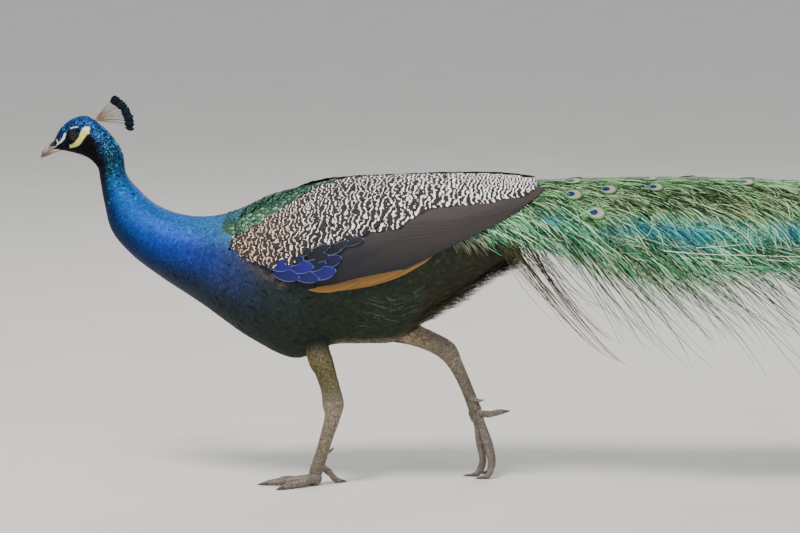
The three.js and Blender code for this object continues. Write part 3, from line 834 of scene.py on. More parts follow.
turns = np.linspace(-math.pi, math.pi, 96, endpoint=False)
stations = np.concatenate([np.linspace(0, 6, 110), np.linspace(6, 11, 60)[1:], np.linspace(11, 21, 90)[1:]])
grid = closed_tube(body, stations, turns, coat)
grid[1:-1] = eye_socket(grid[1:-1])
skin = grid_mesh("skin", grid)
for side in (-1, 1):
    tube = closed_tube(
        leg_on(side), np.linspace(0, 4.25, 50), around(40),
        lambda t: np.interp(t, [0, 1, 2, 3.4, 4, 4.3], [13, 7, 3.5, 2.2, 1.5, 1.5]))
    thigh = grid_mesh("thigh", tube)
    select_only(skin)
    join = skin.modifiers.new("join", "BOOLEAN")
    join.operation, join.object, join.solver = "UNION", thigh, "EXACT"
    bpy.ops.object.modifier_apply(modifier="join")
    bpy.data.objects.remove(thigh)


def skin_colours(ob):
    me = ob.data
    p = np.empty(len(me.vertices) * 3, np.float32)
    me.vertices.foreach_get("co", p)
    p = p.reshape(-1, 3).astype(float)
    # the nearest section of BODY, by its middle, and the angle around it
    t = np.linspace(0, SECTIONS, 1200)
    middles = (curve(BODY[:, 0:2], t) + curve(BODY[:, 2:4], t)) / 2
    up = unit(curve(BODY[:, 0:2], t) - curve(BODY[:, 2:4], t))
    along = unit(np.gradient(middles, axis=0))
    flat = p[:, [0, 2]] / MM
    best, cost = np.zeros(len(p)), np.full(len(p), 1e18)
    for k in range(0, len(t), 3):
        off = flat - middles[k]
        miss = np.abs(off @ np.array([-up[k][1], up[k][0]])) * 6 + np.hypot(*off.T)
        better = miss < cost
        best[better], cost[better] = t[k], miss[better]
    k = np.searchsorted(t, best).clip(0, len(t) - 1)
    lift = np.sum((flat - middles[k]) * up[k], -1)
    turn = np.arctan2(p[:, 1] / MM, lift)
    colour, _ = head_colour(best, turn, p)
    thigh = p[:, 2] < 0.215
    colour = mix(colour, rgb(112, 96, 74), (thigh & (best > 12)).astype(float))
    shade = me.attributes.new("tint", "FLOAT_COLOR", "POINT")
    shade.data.foreach_set("color", np.c_[colour, np.ones(len(p))].astype(np.float32).ravel())
    layer = me.uv_layers.new(name="OFBake")
    corners = np.empty(len(me.loops), np.int32)
    me.loops.foreach_get("vertex_index", corners)
    u = 0.02 + 0.96 * (turn[corners] / (2 * math.pi) + 0.5)
    uv = np.stack([u, 0.02 + 0.96 * best[corners] / SECTIONS], -1)
    layer.uv.foreach_set("vector", uv.astype(np.float32).ravel())
    me.shade_smooth()


skin_colours(skin)
skin.data.materials.append(LOOKS["skin"])
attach(skin, "root")
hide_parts("head", "neck_upper", "neck_lower", "trunk", "thigh_left", "thigh_right")


# ---------------------------------------------------------------- feathers of the head, neck and trunk
def rings_of(first, last, pitch_at):
    """Section numbers a pitch apart along the body, and each one's pitch (mm)."""
    t = np.linspace(first, last, 4000)
    middle = (curve(BODY[:, 0:2], t) + curve(BODY[:, 2:4], t)) / 2
    run = np.concatenate([[0], np.cumsum(np.linalg.norm(np.diff(middle, axis=0), axis=-1))])
    steps = np.concatenate([[0], np.cumsum(np.diff(run) / pitch_at(t[1:]))])
    found = np.interp(np.arange(0, steps[-1]), steps, t)
    return found, pitch_at(found), np.interp(found, t, np.gradient(run, t))


def body_roots(first, last, pitch_at, keep):
    """Staggered roots of feathers over the body: section number, turn, pitch (mm) and mm for each section."""
    ts, turns_, pitches, rates = [], [], [], []
    for k, (t, pitch, rate) in enumerate(zip(*rings_of(first, last, pitch_at))):
        loop = body(np.full(73, t), np.linspace(-math.pi, math.pi, 73)) / MM
        lengths = np.concatenate([[0], np.cumsum(np.linalg.norm(np.diff(loop, axis=0), axis=-1))])
        count = max(8, int(lengths[-1] / pitch))
        at = (np.arange(count) + 0.5 * (k % 2)) / count * lengths[-1]
        turn = np.interp(at, lengths, np.linspace(-math.pi, math.pi, 73))
        ts.append(np.full(count, t))
        turns_.append(turn)
        pitches.append(np.full(count, pitch))
        rates.append(np.full(count, rate))
    t, turn, pitch, rate = map(np.concatenate, (ts, turns_, pitches, rates))
    t = t + rng.normal(0, 0.16, len(t)) * pitch / rate
    turn = turn + rng.normal(0, 0.12, len(t)) * pitch / 60
    wanted = keep(t, turn)
    return t[wanted], turn[wanted], pitch[wanted], rate[wanted]


def body_feathers(sheets, t, turn, pitch, rate, reach, wide=1.5, rows=4, cols=5, fray=0.25, drift=0.0,
                  colour_at=lambda t, turn, tip: coat_colour(t, turn), glow=0.3, speckle=0.0, tip_depth=0.0,
                  loose=0.35, root=0.45, outline=PLUME, deep=99.0, camber=5.0):
    """A feather at each root, reach pitches long and wide pitches broad, brighter towards its tip: painted
    shade darkens its root, under the feathers that overlap it.
    """
    length = pitch * reach * rng.uniform(0.85, 1.15, len(t))
    end_t = np.minimum(t + length / rate, 21.6)
    fall = drift * np.sin(turn) * length / 90 + rng.normal(0, 0.02, len(t)) * length / pitch * 0.6
    start, end = np.stack([t, turn], -1), np.stack([end_t, turn + fall], -1)
    low = np.minimum(coat(t) * 0.95, deep)
    high = tip_depth + rng.uniform(0, loose, len(t)) * np.minimum(coat(t), 3)
    grid = lay(body, between(start, end, rows), low, high, pitch * wide, cols, outline, fray, camber)
    base = colour_at(t, turn, grid[:, -1, cols // 2])
    # a speckled feather is nearly black or bright cyan
    odd = rng.random(len(t))
    base = mix(base, base * np.where(t < 8.4, 0.22, 0.7)[:, None], (odd < speckle * 0.5).astype(float))
    lit = (odd > 1 - speckle * 0.24) & (base[:, 2] > 0.06) & (t < 8.4)
    cyan = hues((80, 160, 240), (52, 176, 220), step_up(t, 3, 6))
    base = mix(base, base * 0.6 + cyan * 0.4, lit.astype(float))
    bright = rng.lognormal(0, glow, len(t))
    v, u = np.linspace(0, 1, rows)[None, :, None], np.linspace(-1, 1, cols)[None, None, :]
    # painted shade: root is how dark each feather is at its root, under the feathers that overlap it; each is
    # also a little darker at its sides near the tip
    shade = bright[:, None, None] * (root + (1.05 - root) * v) * (1 - 0.15 * np.abs(u) * v)
    colour = base[:, None, None] * shade[..., None]
    vane = together(v, u, rng.random(len(t))[:, None, None])
    sheets.add(grid, np.clip(colour, 0, 1), unwrap(t, turn), vane)


def head_keep(t, turn):
    """Where the head has feathers: not on its pale marks or its eyes."""
    p = body(t, turn)
    x, z = p[..., 0] / MM, p[..., 2] / MM
    _, pale = head_colour(t, turn, p)
    eye = np.hypot(x - EYE[0], (z - EYE[1]) * 1.1)
    on_side = np.abs(np.sin(turn)) > 0.3
    return (pale < 0.15) & ~((eye < 9) & on_side)


head = Sheets()
t, turn, pitch, rate = body_roots(
    0.05, 6.2, lambda t: np.interp(t, [0, 1, 3, 6.2], [1.1, 1.2, 1.35, 1.8]), head_keep)
tips = body(np.minimum(t + pitch * 2.2 / rate, SECTIONS), turn)
_, tip_pale = head_colour(t, turn, tips)
clear = tip_pale < 0.3
t, turn, pitch, rate = t[clear], turn[clear], pitch[clear], rate[clear]
body_feathers(head, t, turn, pitch, rate, reach=2.0, rows=3, cols=3, fray=0.1,
              colour_at=lambda *place: head_colour(*place)[0], glow=0.45, speckle=0.66, root=0.75,
              tip_depth=-0.5, deep=1.8)
head.piece("head_feathers", "sheen")

neck = Sheets()
t, turn, pitch, rate = body_roots(6.0, 11.9, lambda t: np.interp(t, [6, 8, 10, 11.9], [1.9, 2.3, 2.8, 3.4]),
                                  lambda t, turn: t > 0)
speckle = 0.06 + 0.56 * (1 - step_up(t - 0.5 * np.cos(turn), 5.8, 8.4))
body_feathers(neck, t, turn, pitch, rate, reach=3.4, wide=2.0, rows=4, cols=4, glow=0.15, speckle=speckle,
              tip_depth=-0.3, loose=0.06, root=0.92, outline=CLOSE, deep=2.0, camber=9.0)
neck.piece("neck_feathers", "sheen")


def under_wing(t, turn):
    """Where wings and train cover the trunk."""
    p = body(t, turn) / MM
    x, y, z = p[..., 0], np.abs(p[..., 1]), p[..., 2]
    half, centre, top, inner, outer = np.moveaxis(table(WING, x), -1, 0)
    angle = np.degrees(np.arctan2(y / half, (z - centre) / (top - centre)))
    covered = (x > -745) & (x < -290) & (angle > inner + 14) & (angle < outer - 10)
    return covered | ((x > -400) & (np.cos(turn) > 0.1)) | (x > -318)


breast = Sheets()
t, turn, pitch, rate = body_roots(
    11.7, 21, lambda t: np.interp(t, [11.7, 13, 15, 21], [3.4, 3.9, 4.8, 6]),
    lambda t, turn: ~under_wing(t, turn) & ~((np.cos(turn) > 0.3) & (t > 12)))
RUSTY_LINE = [(-731, 354), (-708, 338), (-669, 321)]


def breast_colour(t, turn, p):
    """coat_colour, with rusty down below the front of the wing and tan down between the legs."""
    near = to_segments(p[..., 0] / MM, p[..., 2] / MM, RUSTY_LINE)
    rusty = np.exp(-((near / 7) ** 2)) * rng.uniform(0.2, 0.85, len(t)) * (np.abs(np.sin(turn)) > 0.5)
    colour = mix(coat_colour(t, turn), rgb(92, 76, 68), rusty * 0.8)
    x = p[..., 0] / MM
    tan = step_up(-np.cos(turn), 0.86, 0.97) * step_up(x, -606, -580) * (1 - step_up(x, -500, -480))
    return mix(colour, rgb(132, 118, 92), tan * rng.uniform(0.4, 0.9, len(t)))


body_feathers(breast, t, turn, pitch, rate, reach=3.6, wide=2.0, fray=0.14, drift=0.25,
              colour_at=breast_colour, glow=0.17, tip_depth=-0.4, loose=0.08, root=0.92, outline=CLOSE,
              deep=2.6, camber=8.0)
# pale teal wisps on the flank
m = 300
t, turn = rng.uniform(15.6, 17.6, m), rng.choice([-1, 1], m) * rng.uniform(1.85, 2.35, m)
length = rng.uniform(16, 30, m)
start = np.stack([t, turn], -1)
end = np.stack([t + length / 50, turn + np.sign(turn) * rng.normal(0.06, 0.05, m)], -1)
way = between(start, end, 6, rng.normal(0, 0.015, m))
grid = lay(body, way, 0.6, rng.uniform(-1.5, 0, m), 0.8, 2, ((0, 1), (1, 0.3)))
tone = hues((34, 52, 47), (100, 118, 106), rng.random(m) ** 2)
breast.add(grid, tone[:, None, None], unwrap(t, turn))
breast.piece("breast_feathers", "soft")


def mantle_keep(t, turn):
    edge = np.interp(body(t, turn)[..., 0], [-0.79, -0.765, -0.735], [0.97, 0.7, 0.22])
    return (np.cos(turn) > edge) & ~under_wing(t, turn)


mantle = Sheets()
t, turn, pitch, rate = body_roots(
    11.5, 20, lambda t: np.interp(t, [11.5, 12.5, 20], [4.2, 6.5, 9]), mantle_keep)


def mantle_colour(t, turn, tip):
    green = hues((30, 104, 84), (70, 150, 96), rng.random(len(t)) ** 2)
    return mix(green, rgb(14, 60, 80), step_up(-np.cos(turn), -0.75, -0.35))


body_feathers(mantle, t, turn, pitch, rate, reach=2.6, wide=1.2, fray=0.0, colour_at=mantle_colour, glow=0.3,
              tip_depth=-1.6)
mantle.piece("mantle_feathers", "mantle")


# ---------------------------------------------------------------- wings
# x, and the share q of the way from the wing's upper edge to its lower one where the barred feathers end
BARRED_TO = np.array([
    (-762, 0.78), (-748, 0.88), (-735, 0.97), (-692, 0.98), (-662, 0.87), (-632, 0.77), (-602, 0.7),
    (-578, 0.67), (-552, 0.65), (-496, 0.665), (-478, 0.64), (-462, 0.6), (-448, 0.55), (-420, 0.54),
    (-388, 0.55), (-356, 0.575), (-328, 0.62), (-306, 0.67), (-276, 0.74),
])
# x, and the share above which green scapulars cover the wing's front
GREEN_TO = np.array([
    (-770, 0.62), (-752, 0.5), (-725, 0.36), (-700, 0.25), (-670, 0.14), (-640, 0.06), (-620, 0),
])
# Outlines of feathers: share of the length, share of the width
ROUND = ((0, 0.5), (0.25, 0.85), (0.6, 1.0), (0.85, 0.86), (0.96, 0.5), (1, 0.2))
BLUNT = ((0, 0.1), (0.08, 0.5), (0.22, 0.98), (0.85, 1.0), (0.94, 0.86), (0.985, 0.5), (1, 0.15))
VANE = ((0, 0.5), (0.15, 0.9), (0.7, 1.0), (0.88, 0.8), (0.97, 0.42), (1, 0.12))
COVERT = ((0, 0.5), (0.25, 0.9), (0.55, 1.0), (0.8, 0.84), (0.94, 0.5), (1, 0.2))
LEAF = ((0, 0.12), (0.1, 0.5), (0.38, 1.0), (0.7, 0.9), (0.92, 0.5), (1, 0.12))


def ridge_share(x):
    """How far the barred feathers pass the wing's upper edge towards the middle of the back."""
    return np.interp(x, [-660, -600, -440, -400, -330, -290], [0.0, 0.16, 0.12, 0.03, 0.03, 0.12])


def wing_tips(first, last, pitch_at, width_at, keep):
    """Feather tips (x, q) in staggered rows over the wing."""
    xs, qs, x, k = [], [], float(first), 0
    while x < last:
        inner, outer, half = table(WING[:, [0, 4, 5, 1]], x)
        arc = math.radians(outer - inner) * half
        count = max(2, round(arc / width_at(x)))
        spare = int(ridge_share(x) * count)
        q = (np.arange(-spare, count) + 0.25 + 0.5 * (k % 2)) / count
        count = len(q)
        xs.append(np.full(count, x) + rng.normal(0, 0.14, count) * pitch_at(x))
        qs.append(q + rng.normal(0, 0.1, count) / count)
        x += pitch_at(x)
        k += 1
    x, q = np.concatenate(xs), np.concatenate(qs)
    wanted = keep(x, q)
    return x[wanted], q[wanted]


def wing_way(x, q, length, rows, dq=0.0):
    """Ways along the wing that end at (x, q); they start dq nearer the lower edge."""
    v = np.linspace(0, 1, rows)[None]
    along = np.maximum((x - length)[:, None] + length[:, None] * v, -770)
    share = q[:, None] + np.broadcast_to(dq, (len(x),))[:, None] * (1 - v)
    return np.stack([along, wing_angle(along, share)], -1)


def thickness(x):
    """How thick a wing is under its feathers, mm."""
    return np.interp(x, [-480, -352, -276], [14, 2.5, 2.5])


def shell(surface, x, share, angle_of, top, under):
    """A closed thin sheet: its outer face at depth top and its inner one at depth under."""
    xs, qs = np.meshgrid(x, np.concatenate([share, share[::-1]]), indexing="ij")
    depth = np.concatenate([top(xs[:, :len(share)]), under(xs[:, len(share):])], 1)
    return capped(surface(xs, angle_of(xs, qs), depth))


def wing_base(wing, name):
    """The closed dark sheet under a wing's feathers."""
    base = Sheets()
    base.add(shell(wing, np.linspace(-757, -281, 50), np.linspace(0.03, 0.96, 18), wing_angle,
                   lambda x: np.interp(x, [-480, -352], [5.6, 4.6]), lambda x: np.maximum(thickness(x), 5.4)),
             rgb(30, 25, 24), whole(), ring=True)
    base.piece("wing_base_" + name, "matt", ["wing_" + name])


def barred_feathers(wing, name):
    """The small feathers whose bars barred_look draws from their vane and tint."""
    barred = Sheets()
    x, q = wing_tips(
        -752, -279, lambda x: np.interp(x, [-760, -680, -560, -300], [6, 8.5, 12, 11]),
        lambda x: np.interp(x, [-760, -680, -560, -300], [6, 8, 11, 8]),
        lambda x, q: (q < np.interp(x, *BARRED_TO.T) + rng.normal(0, 0.01, len(x)))
        & (q > np.interp(x, *GREEN_TO.T)))
    length = np.interp(x, [-760, -680, -560, -300], [16, 24, 34, 30]) * rng.uniform(0.9, 1.1, len(x))
    width = np.interp(x, [-760, -680, -560, -300], [9, 12, 17, 13])
    way = wing_way(x, q, length, 6)
    grid = lay(wing, way, thickness(x) * 0.36, rng.uniform(-0.3, 0.8, len(x)), width, 9, ROUND, fray=0.1,
               camber=4.0)
    flat = grid / MM
    lean = rng.uniform(-0.6, 0.2, len(x))[:, None, None]
    arc = (1.5 + 1.5 * rng.random(len(x)))[:, None, None] * np.linspace(-1, 1, 9)[None, None] ** 2
    slant = flat[..., 0] - x[:, None, None] + lean * (flat[..., 2] - 420) - arc
    period = np.interp(x, [-760, -690, -600, -430, -350, -276], [5.2, 6.0, 7.2, 9.2, 6.6, 5.4])
    period = period * np.interp(q, [0, 0.3, 0.6], [0.8, 0.85, 1.25])
    phase = slant * (2 * math.pi / period)[:, None, None] + rng.uniform(-3, 3, len(x))[:, None, None]
    vane = together(phase, np.linspace(-1, 1, 9), rng.random(len(x))[:, None, None])
    warm = 1 - step_up(x, -740, -590)
    pale = np.interp(x, [-760, -640, -560, -420, -276], [0.02, -0.1, 0.0, 0.28, 0.5])
    tint = together(0, pale + rng.normal(0, 0.03, len(x)), warm)[:, None, None]
    barred.add(grid, np.clip(tint, 0, 1), cells(len(x)), vane)
    barred.piece("barred_feathers_" + name, "barred")


def scapulars(wing, name):
    """Green feathers over the wing's front."""
    scapular = Sheets()
    x, q = wing_tips(-750, -590, lambda x: 5.0, lambda x: 6.5,
                     lambda x, q: (q < np.interp(x, *GREEN_TO.T) + 0.03) & (q > -0.02))
    way = wing_way(x, q, rng.uniform(14, 18, len(x)), 5)
    grid = lay(wing, way, 3.0, rng.uniform(-0.6, 0.3, len(x)), 9.0, 5, camber=5.0)
    tone = hues((22, 76, 54), (104, 160, 118), rng.random(len(x)) ** 2)
    # painted shade: each scapular darker at its root, under the feathers over it
    scapular.add(grid, shaded(tone, 0.5, 1.1, 5), cells(len(x)))
    scapular.piece("scapulars_" + name, "mantle")


def secondaries(wing, name, side):
    """The flight feathers, the lowest one first; each later one lies over it."""
    flight = Sheets()
    k = np.arange(16)
    first = np.stack([-640 + 7 * k, 0.96 - 0.027 * k], -1)
    last = np.stack([np.interp(k, [0, 5, 10, 15], [-455, -380, -318, -275]),
                     np.interp(k, [0, 10, 15], [0.91, 0.86, 0.76])], -1)
    ways = between(first, last, 18)
    ways[..., 1] = wing_angle(ways[..., 0], ways[..., 1])
    depth = 3.6 - 0.15 * k
    grid = lay(wing, ways, depth + 2.5, depth, 36 - 0.6 * k, 9, BLUNT, camber=2.0)
    tone = hues((27, 29, 38), (58, 50, 49), step_up(k, 0, 10))
    v = np.linspace(0, 1, 18)[None, :, None, None]
    u = np.linspace(-1, 1, 9)[None, None, :, None]
    # painted shade: each feather darker towards its root, under the feathers over it, and darker towards its
    # lower edge and lighter towards its upper one
    tone = tone[:, None, None] * (0.7 + 0.45 * v) * (1 - 0.25 * side * u)
    own = rng.random(16)[:, None, None]
    vane = together(v[..., 0], u[..., 0], own)
    flight.add(grid, np.clip(tone, 0, 1), cells(16), vane)
    flight.piece("secondaries_" + name, "flight")


def coverts(wing, name):
    covert = Sheets()
    # q and x of the tips, length, width and colour
    rows_of_tips = (
        (0.97, (-648, -616), 40, 20, (26, 26, 110)),
        (0.89, (-660, -628, -594), 40, 22, (34, 26, 132)),
        (0.81, (-640, -610, -584), 34, 19, (20, 22, 64)),
        (0.75, (-626, -602, -578), 34, 16, (24, 24, 34)),
        (0.69, (-598, -574, -550), 34, 13, (34, 31, 34)),
    )
    for row, (q, tips, length, width, colour) in enumerate(rows_of_tips):
        x = np.array(tips, float) + rng.normal(0, 2, len(tips))
        n = len(x)
        tip_q, own_length = q + rng.normal(0, 0.015, n), length * rng.uniform(0.9, 1.1, n)
        way = wing_way(x, tip_q, own_length, 8, rng.normal(0.03, 0.03, n))
        high = 1.6 - 0.35 * row + rng.uniform(-0.2, 0.2, n)
        grid = lay(wing, way, high + 2.2, high, width, 9, COVERT, camber=5.0)
        tone = rgb(*colour) * rng.uniform(0.75, 1.2, n)[:, None]
        first = sum(len(r[1]) for r in rows_of_tips[:row])
        # painted shade: each covert darker at its root, under the feathers over it
        covert.add(grid, shaded(tone, 0.5, 1.1, 8), cells(24, first, first + n))
    covert.piece("coverts_" + name, "blue_rimmed")


def primaries(wing, name):
    """The chestnut feathers that show below the wing."""
    chestnut = Sheets()
    # start and end as x and degrees below the wing's lower edge, and width
    leaves = (((-606, 4.6), (-446, 0.6), 17), ((-622, 3.0), (-490, 1.6), 14), ((-634, 5.2), (-556, 1.6), 11))
    for row, ((x0, a0), (x1, a1), width) in enumerate(leaves):
        xs = np.linspace(x0, x1, 16)
        below = np.interp(xs, [x0, x1], [a0, a1])
        way = np.stack([xs, table(WING[:, [0, 5]], xs)[:, 0] + below], -1)[None]
        grid = lay(wing, way, 4.2 - row, 4.0 - row, width, 9, LEAF, camber=2.0, blunt=0.1)
        tone = np.clip(rgb(118, 84, 38) * np.linspace(1.35, 0.7, 9)[:, None], 0, 1)
        chestnut.add(grid, tone, cells(4, row, row + 1))
    chestnut.piece("primaries_look_" + name, "flight", ["primaries_" + name])


for side, name in SIDES:
    wing = wing_on(side)
    barred_feathers(wing, name)
    scapulars(wing, name)
    secondaries(wing, name, side)
    coverts(wing, name)
    wing_base(wing, name)
    primaries(wing, name)


# ---------------------------------------------------------------- train
def train_patch(x, angle):
    """Small patches at their roots' places on the unwrap of the train."""
    u, v = 0.02 + 0.96 * np.clip((x + 450) / 1520, 0, 1), 0.5 + 0.0038 * np.clip(angle, -120, 120)
    return np.stack([u, v], -1), SMALL_PATCH


def strands(sheets, x, angle, length, first, last, width, low, high, colour_at, rows=6, lowest=130.0):
    """Ribbons on the train. They head first degrees below +X at their roots and last degrees at their tips.

    None ends below the angle lowest. colour_at takes x, angle and v of every point."""
    n = len(x)
    side = np.where(angle < 0, -1.0, 1.0)
    way = np.empty((n, rows, 2))
    way[:, 0, 0], way[:, 0, 1] = x, np.abs(angle)
    for k in range(rows - 1):
        heading = np.radians(first + (last - first) * ((k + 0.5) / (rows - 1)))
        at, a = way[:, k, 0], way[:, k, 1]
        _, half, deep = np.moveaxis(table(TRAIN, at), -1, 0)
        turn = np.radians(np.minimum(a, 90))
        on_arch = np.hypot(half * np.cos(turn), deep * np.sin(turn)) * math.pi / 180
        speed = np.where(a < 90, on_arch, deep / 60)
        way[:, k + 1, 0] = at + length / (rows - 1) * np.cos(heading)
        way[:, k + 1, 1] = a + length / (rows - 1) * np.sin(heading) / speed
    fall = way[:, -1, 1] - way[:, 0, 1]
    squeeze = np.clip((lowest - way[:, 0, 1]) / np.maximum(fall, 1e-6), 0.02, 1)
    squeeze = np.where(fall > 0, squeeze, 1)[:, None]
    way[..., 1] = way[:, :1, 1] + (way[..., 1] - way[:, :1, 1]) * squeeze
    v = np.broadcast_to(np.linspace(0, 1, rows), (n, rows))
    colour = colour_at(way[..., 0], way[..., 1], v)
    way[..., 1] *= side[:, None]
    grid = lay(train, way, low, high, width, 2, ((0, 1), (0.6, 0.8), (1, 0.3)), camber=0, blunt=0)
    sheets.add(grid, np.clip(colour, 0, 1)[:, :, None], train_patch(x, angle))


GREEN, TEAL, CERULEAN = rgb(84, 146, 86), rgb(66, 140, 106), rgb(18, 118, 162)
OLIVE, BRONZE, DARK = rgb(88, 104, 60), rgb(104, 96, 58), rgb(17, 21, 11)
PALE = rgb(208, 245, 190)


def blue_band(x, down):
    """How blue the train is at a place, 0 to 1."""
    centre = np.interp(x, [-290, -200, -130, -46, 50, 98, 1050], [52, 54, 50, 51, 51, 50, 52])
    wide = np.interp(x, [-290, -200, -110, -30, 40, 125, 1050], [4, 5, 6, 7.5, 4.5, 7, 8])
    strength = np.interp(x, [-284, -272, -262, -240, -200, -180, -110, -30, 10, 60, 110],
                         [0.0, 0.7, 0.5, 0.1, 0.1, 0.6, 0.9, 1, 0.5, 0.6, 0.9])
    strength = strength * np.where(x < 130, 1, step_up(ripple(x, down, 9, 190), -0.6, 0.2))
    return np.clip(np.exp(-(((down - centre) / wide) ** 2)) * strength * 0.9, 0, 1)


def train_hue(x, angle):
    """The general colour of the train at a place, before each strand's own variation."""
    down = np.abs(angle)
    patchy = ripple(x, down * 3.2, 5, 150)
    colour = mix(GREEN, TEAL, step_up(patchy + (down - 40) / 40, -0.4, 0.5))
    shade = np.exp(-(((down - 33 - 5 * patchy) / 13) ** 2)) * step_up(x, -235, -150)
    bronzed = mix(OLIVE, BRONZE, step_up(ripple(x, down * 3, 6, 90), 0.0, 0.9))
    colour = mix(colour, bronzed, np.clip(shade * 1.1, 0, 0.85))
    # painted light: paler along the ridge behind the wings, the top of the train, where the light falls from
    # above
    colour = colour * (1 + 0.35 * (1 - step_up(down, 10, 30)) * step_up(x, -235, -150))[..., None]
    return mix(colour, CERULEAN, blue_band(x, down))


under = Sheets()
under.add(
    shell(train, np.linspace(-436, 1030, 150), np.linspace(-1, 1, 60),
          lambda x, q: q * np.interp(x, [-436, -250, -150, 900, 1030], [64, 62, 58, 60, 66]),
          lambda x: 8 + 0 * x, lambda x: 11 + 0 * x),
    rgb(20, 28, 18), whole(0.96), ring=True)
under.piece("train_base_look", "matt", ["train_base", "train_middle", "train_end"])


def comb(first, last, spacing, angles, layer):
    """Roots of barbs: close rows that run along the train, like the shafts they grow from."""
    xs, found, rows_ = [], [], []
    for row, a in enumerate(angles):
        x = np.arange(first, last, spacing) + rng.uniform(0, spacing)
        x = x + rng.normal(0, 0.25 * spacing, len(x))
        wave = 3.5 * np.sin(x / 130 + row * 1.7 + layer) + 2 * np.sin(x / 47 + row * 2.9)
        xs.append(x)
        found.append(a + wave)
        rows_.append(np.full(len(x), row * 7 + layer * 101))
    return map(np.concatenate, (xs, found, rows_))


# Where along X the barbs' roots begin and end, how far apart they are in a row, and how long the barbs are
BARBS_FROM, BARBS_TO = -436, 1040
BARB_PITCH, BARB_LENGTH = 2.4, 66


def comb_layer(sheets, layer, angles, low, high):
    """One layer of the barbs that cover the train."""
    x, angle, row = comb(BARBS_FROM, BARBS_TO, BARB_PITCH, angles, layer)
    n = len(x)
    down = np.abs(angle)
    plume = np.sin(row * 12.9898 + np.floor((x + 31 * row) / 140) * 78.233) * 43758.5453
    plume = plume - np.floor(plume)
    near_wing = 1 - step_up(x, -300, -150)
    length = BARB_LENGTH * np.interp(down, [0, 30, 48, 60, 75], [0.85, 0.9, 1.0, 1.6, 1.5])
    length = length * rng.uniform(0.7, 1.2, n)
    length = np.minimum(length * (1 - 0.3 * near_wing), np.maximum(1080 - x, 12))
    start = np.interp(down, [0, 20, 60, 90], [1, 6, 20, 30]) + rng.normal(0, 9, n) + (plume - 0.5) * 20
    end = np.interp(down, [0, 20, 45, 62, 90], [10, 46, 62, 50, 50]) + rng.normal(0, 12, n)
    end = end + (plume - 0.5) * 24 - 12 * near_wing
    # a few strands cross the others
    stray = rng.random(n) < 0.22
    start, end = start + stray * rng.normal(0, 26, n), end + stray * rng.normal(0, 40, n)
    end = np.maximum(end, -20)
    bright = rng.lognormal(0.0, 0.6, n) * (0.72 + 0.95 * plume)
    kind = rng.random(n)
    light = (kind > 0.72) * rng.uniform(0.5, 1.0, n)
    dark = (kind < np.where(plume < 0.35, 0.66, 0.38)) * rng.uniform(0.75, 1.0, n)
    blue = rng.random(n)

    def colour_at(x, a, v):
        hue = train_hue(x, a)
        away = mix(GREEN, TEAL, step_up(a, 20, 50))
        hue = np.where((blue < 0.22)[:, None, None], away, hue)
        band = blue_band(x, np.abs(a))
        hue = mix(hue, PALE, light[:, None] * (0.4 + 0.6 * v) * (1 - 0.9 * band))
        # painted shade: each barb darker towards its root, under the layers of barbs over it
        hue = np.minimum(hue * (bright[:, None] * (0.6 + 0.5 * v))[..., None], PALE)
        deep = step_up(a, 66, 92) * 0.4 * (blue[:, None] > 0.35)
        return mix(hue, DARK, np.clip(dark[:, None] + deep, 0, 0.96) * (1 - 0.5 * band))

    lift = rng.uniform(-1.2, 1.2, n)
    hem = np.interp(x, [-436, -350, -290, -240, -160, -100, -40, 1050], [73, 73, 74, 78, 78, 73, 65, 66])
    hem = hem + rng.normal(0, 2, n)
    past = rng.exponential(np.interp(x, [-350, -280, -200, -120, -40, 1050], [1.5, 4, 8, 7, 4.5, 4.5]))
    strands(sheets, x, angle, length, start, end, rng.uniform(0.75, 1.25, n), low + 0.5 * lift, high + lift,
            colour_at, lowest=hem + past)


for layer, (low, high) in enumerate(((8, 4), (6.8, 3), (5.6, 1.9), (4.4, 0.8), (3.3, -0.4))):
    barbs = Sheets()
    offset = (layer * 2.1) % 7
    comb_layer(barbs, layer, np.arange(-63 + offset * 0.5, 63, 7.6), low, high)
    barbs.piece(f"train_barbs_{layer}", "barbs")

# From here on the ocelli lie in rows, as far apart as this; the ones before are placed one by one
FIRST_ROW, ROW_PITCH = 158.0, 62


def train_spots():
    """The ocelli. It gives back the x, degrees from the ridge and length of each."""
    ocelli = [
        (-229, -9, 27), (-230, -28, 29), (-176, -22, 27), (-196, -42, 30), (-104, -19, 25), (-111, -6, 23),
        (35, -11, 27), (-226, 12, 28), (-224, 33, 30), (-172, 24, 29), (-190, 45, 31), (-100, 21, 28),
        (-52, 7, 26), (40, 13, 28), (88, 22, 30),
    ]
    row, x = 0, FIRST_ROW
    while x < 1010:
        count = 9 if x < 850 else 6 if x < 960 else 3
        for a in (np.arange(count) - (count - 1) / 2 + 0.5 * (row % 2) - 0.25) / count * 150:
            ocelli.append((x + rng.normal(0, 9), a + rng.normal(0, 2), rng.uniform(31, 40)))
        x, row = x + ROW_PITCH, row + 1
    spot_x, spot_angle, spot_length = np.array(ocelli).T
    n, size = len(ocelli), 11
    v = np.linspace(-1, 1, size)
    circle = tuple(((k + 1) / 2, max(0.02, math.sqrt(max(0, 1 - k * k)))) for k in v)
    start = np.stack([spot_x - spot_length * 0.5, spot_angle], -1)
    way = between(start, start + np.stack([spot_length, np.sign(spot_angle) * 2], -1), size)
    spots = Sheets()
    disc = lay(train, way, 0.2, -2.0, spot_length * 0.8, size, circle, camber=4.0, blunt=0)
    widths = np.array([w for _, w in circle])
    vane = together(v[:, None], v * widths[:, None], rng.random(n)[:, None, None])
    spots.add(disc, rgb(80, 120, 90), cells(n), vane)
    spots.piece("ocelli", "ocellus")
    return spot_x, spot_angle, spot_length


def plain(hue, fade=0.3):
    """A colour_at for strands: one colour for each strand, darker towards its tip."""
    return lambda x, a, v: hue[:, None] * (1 - fade * v)[..., None]


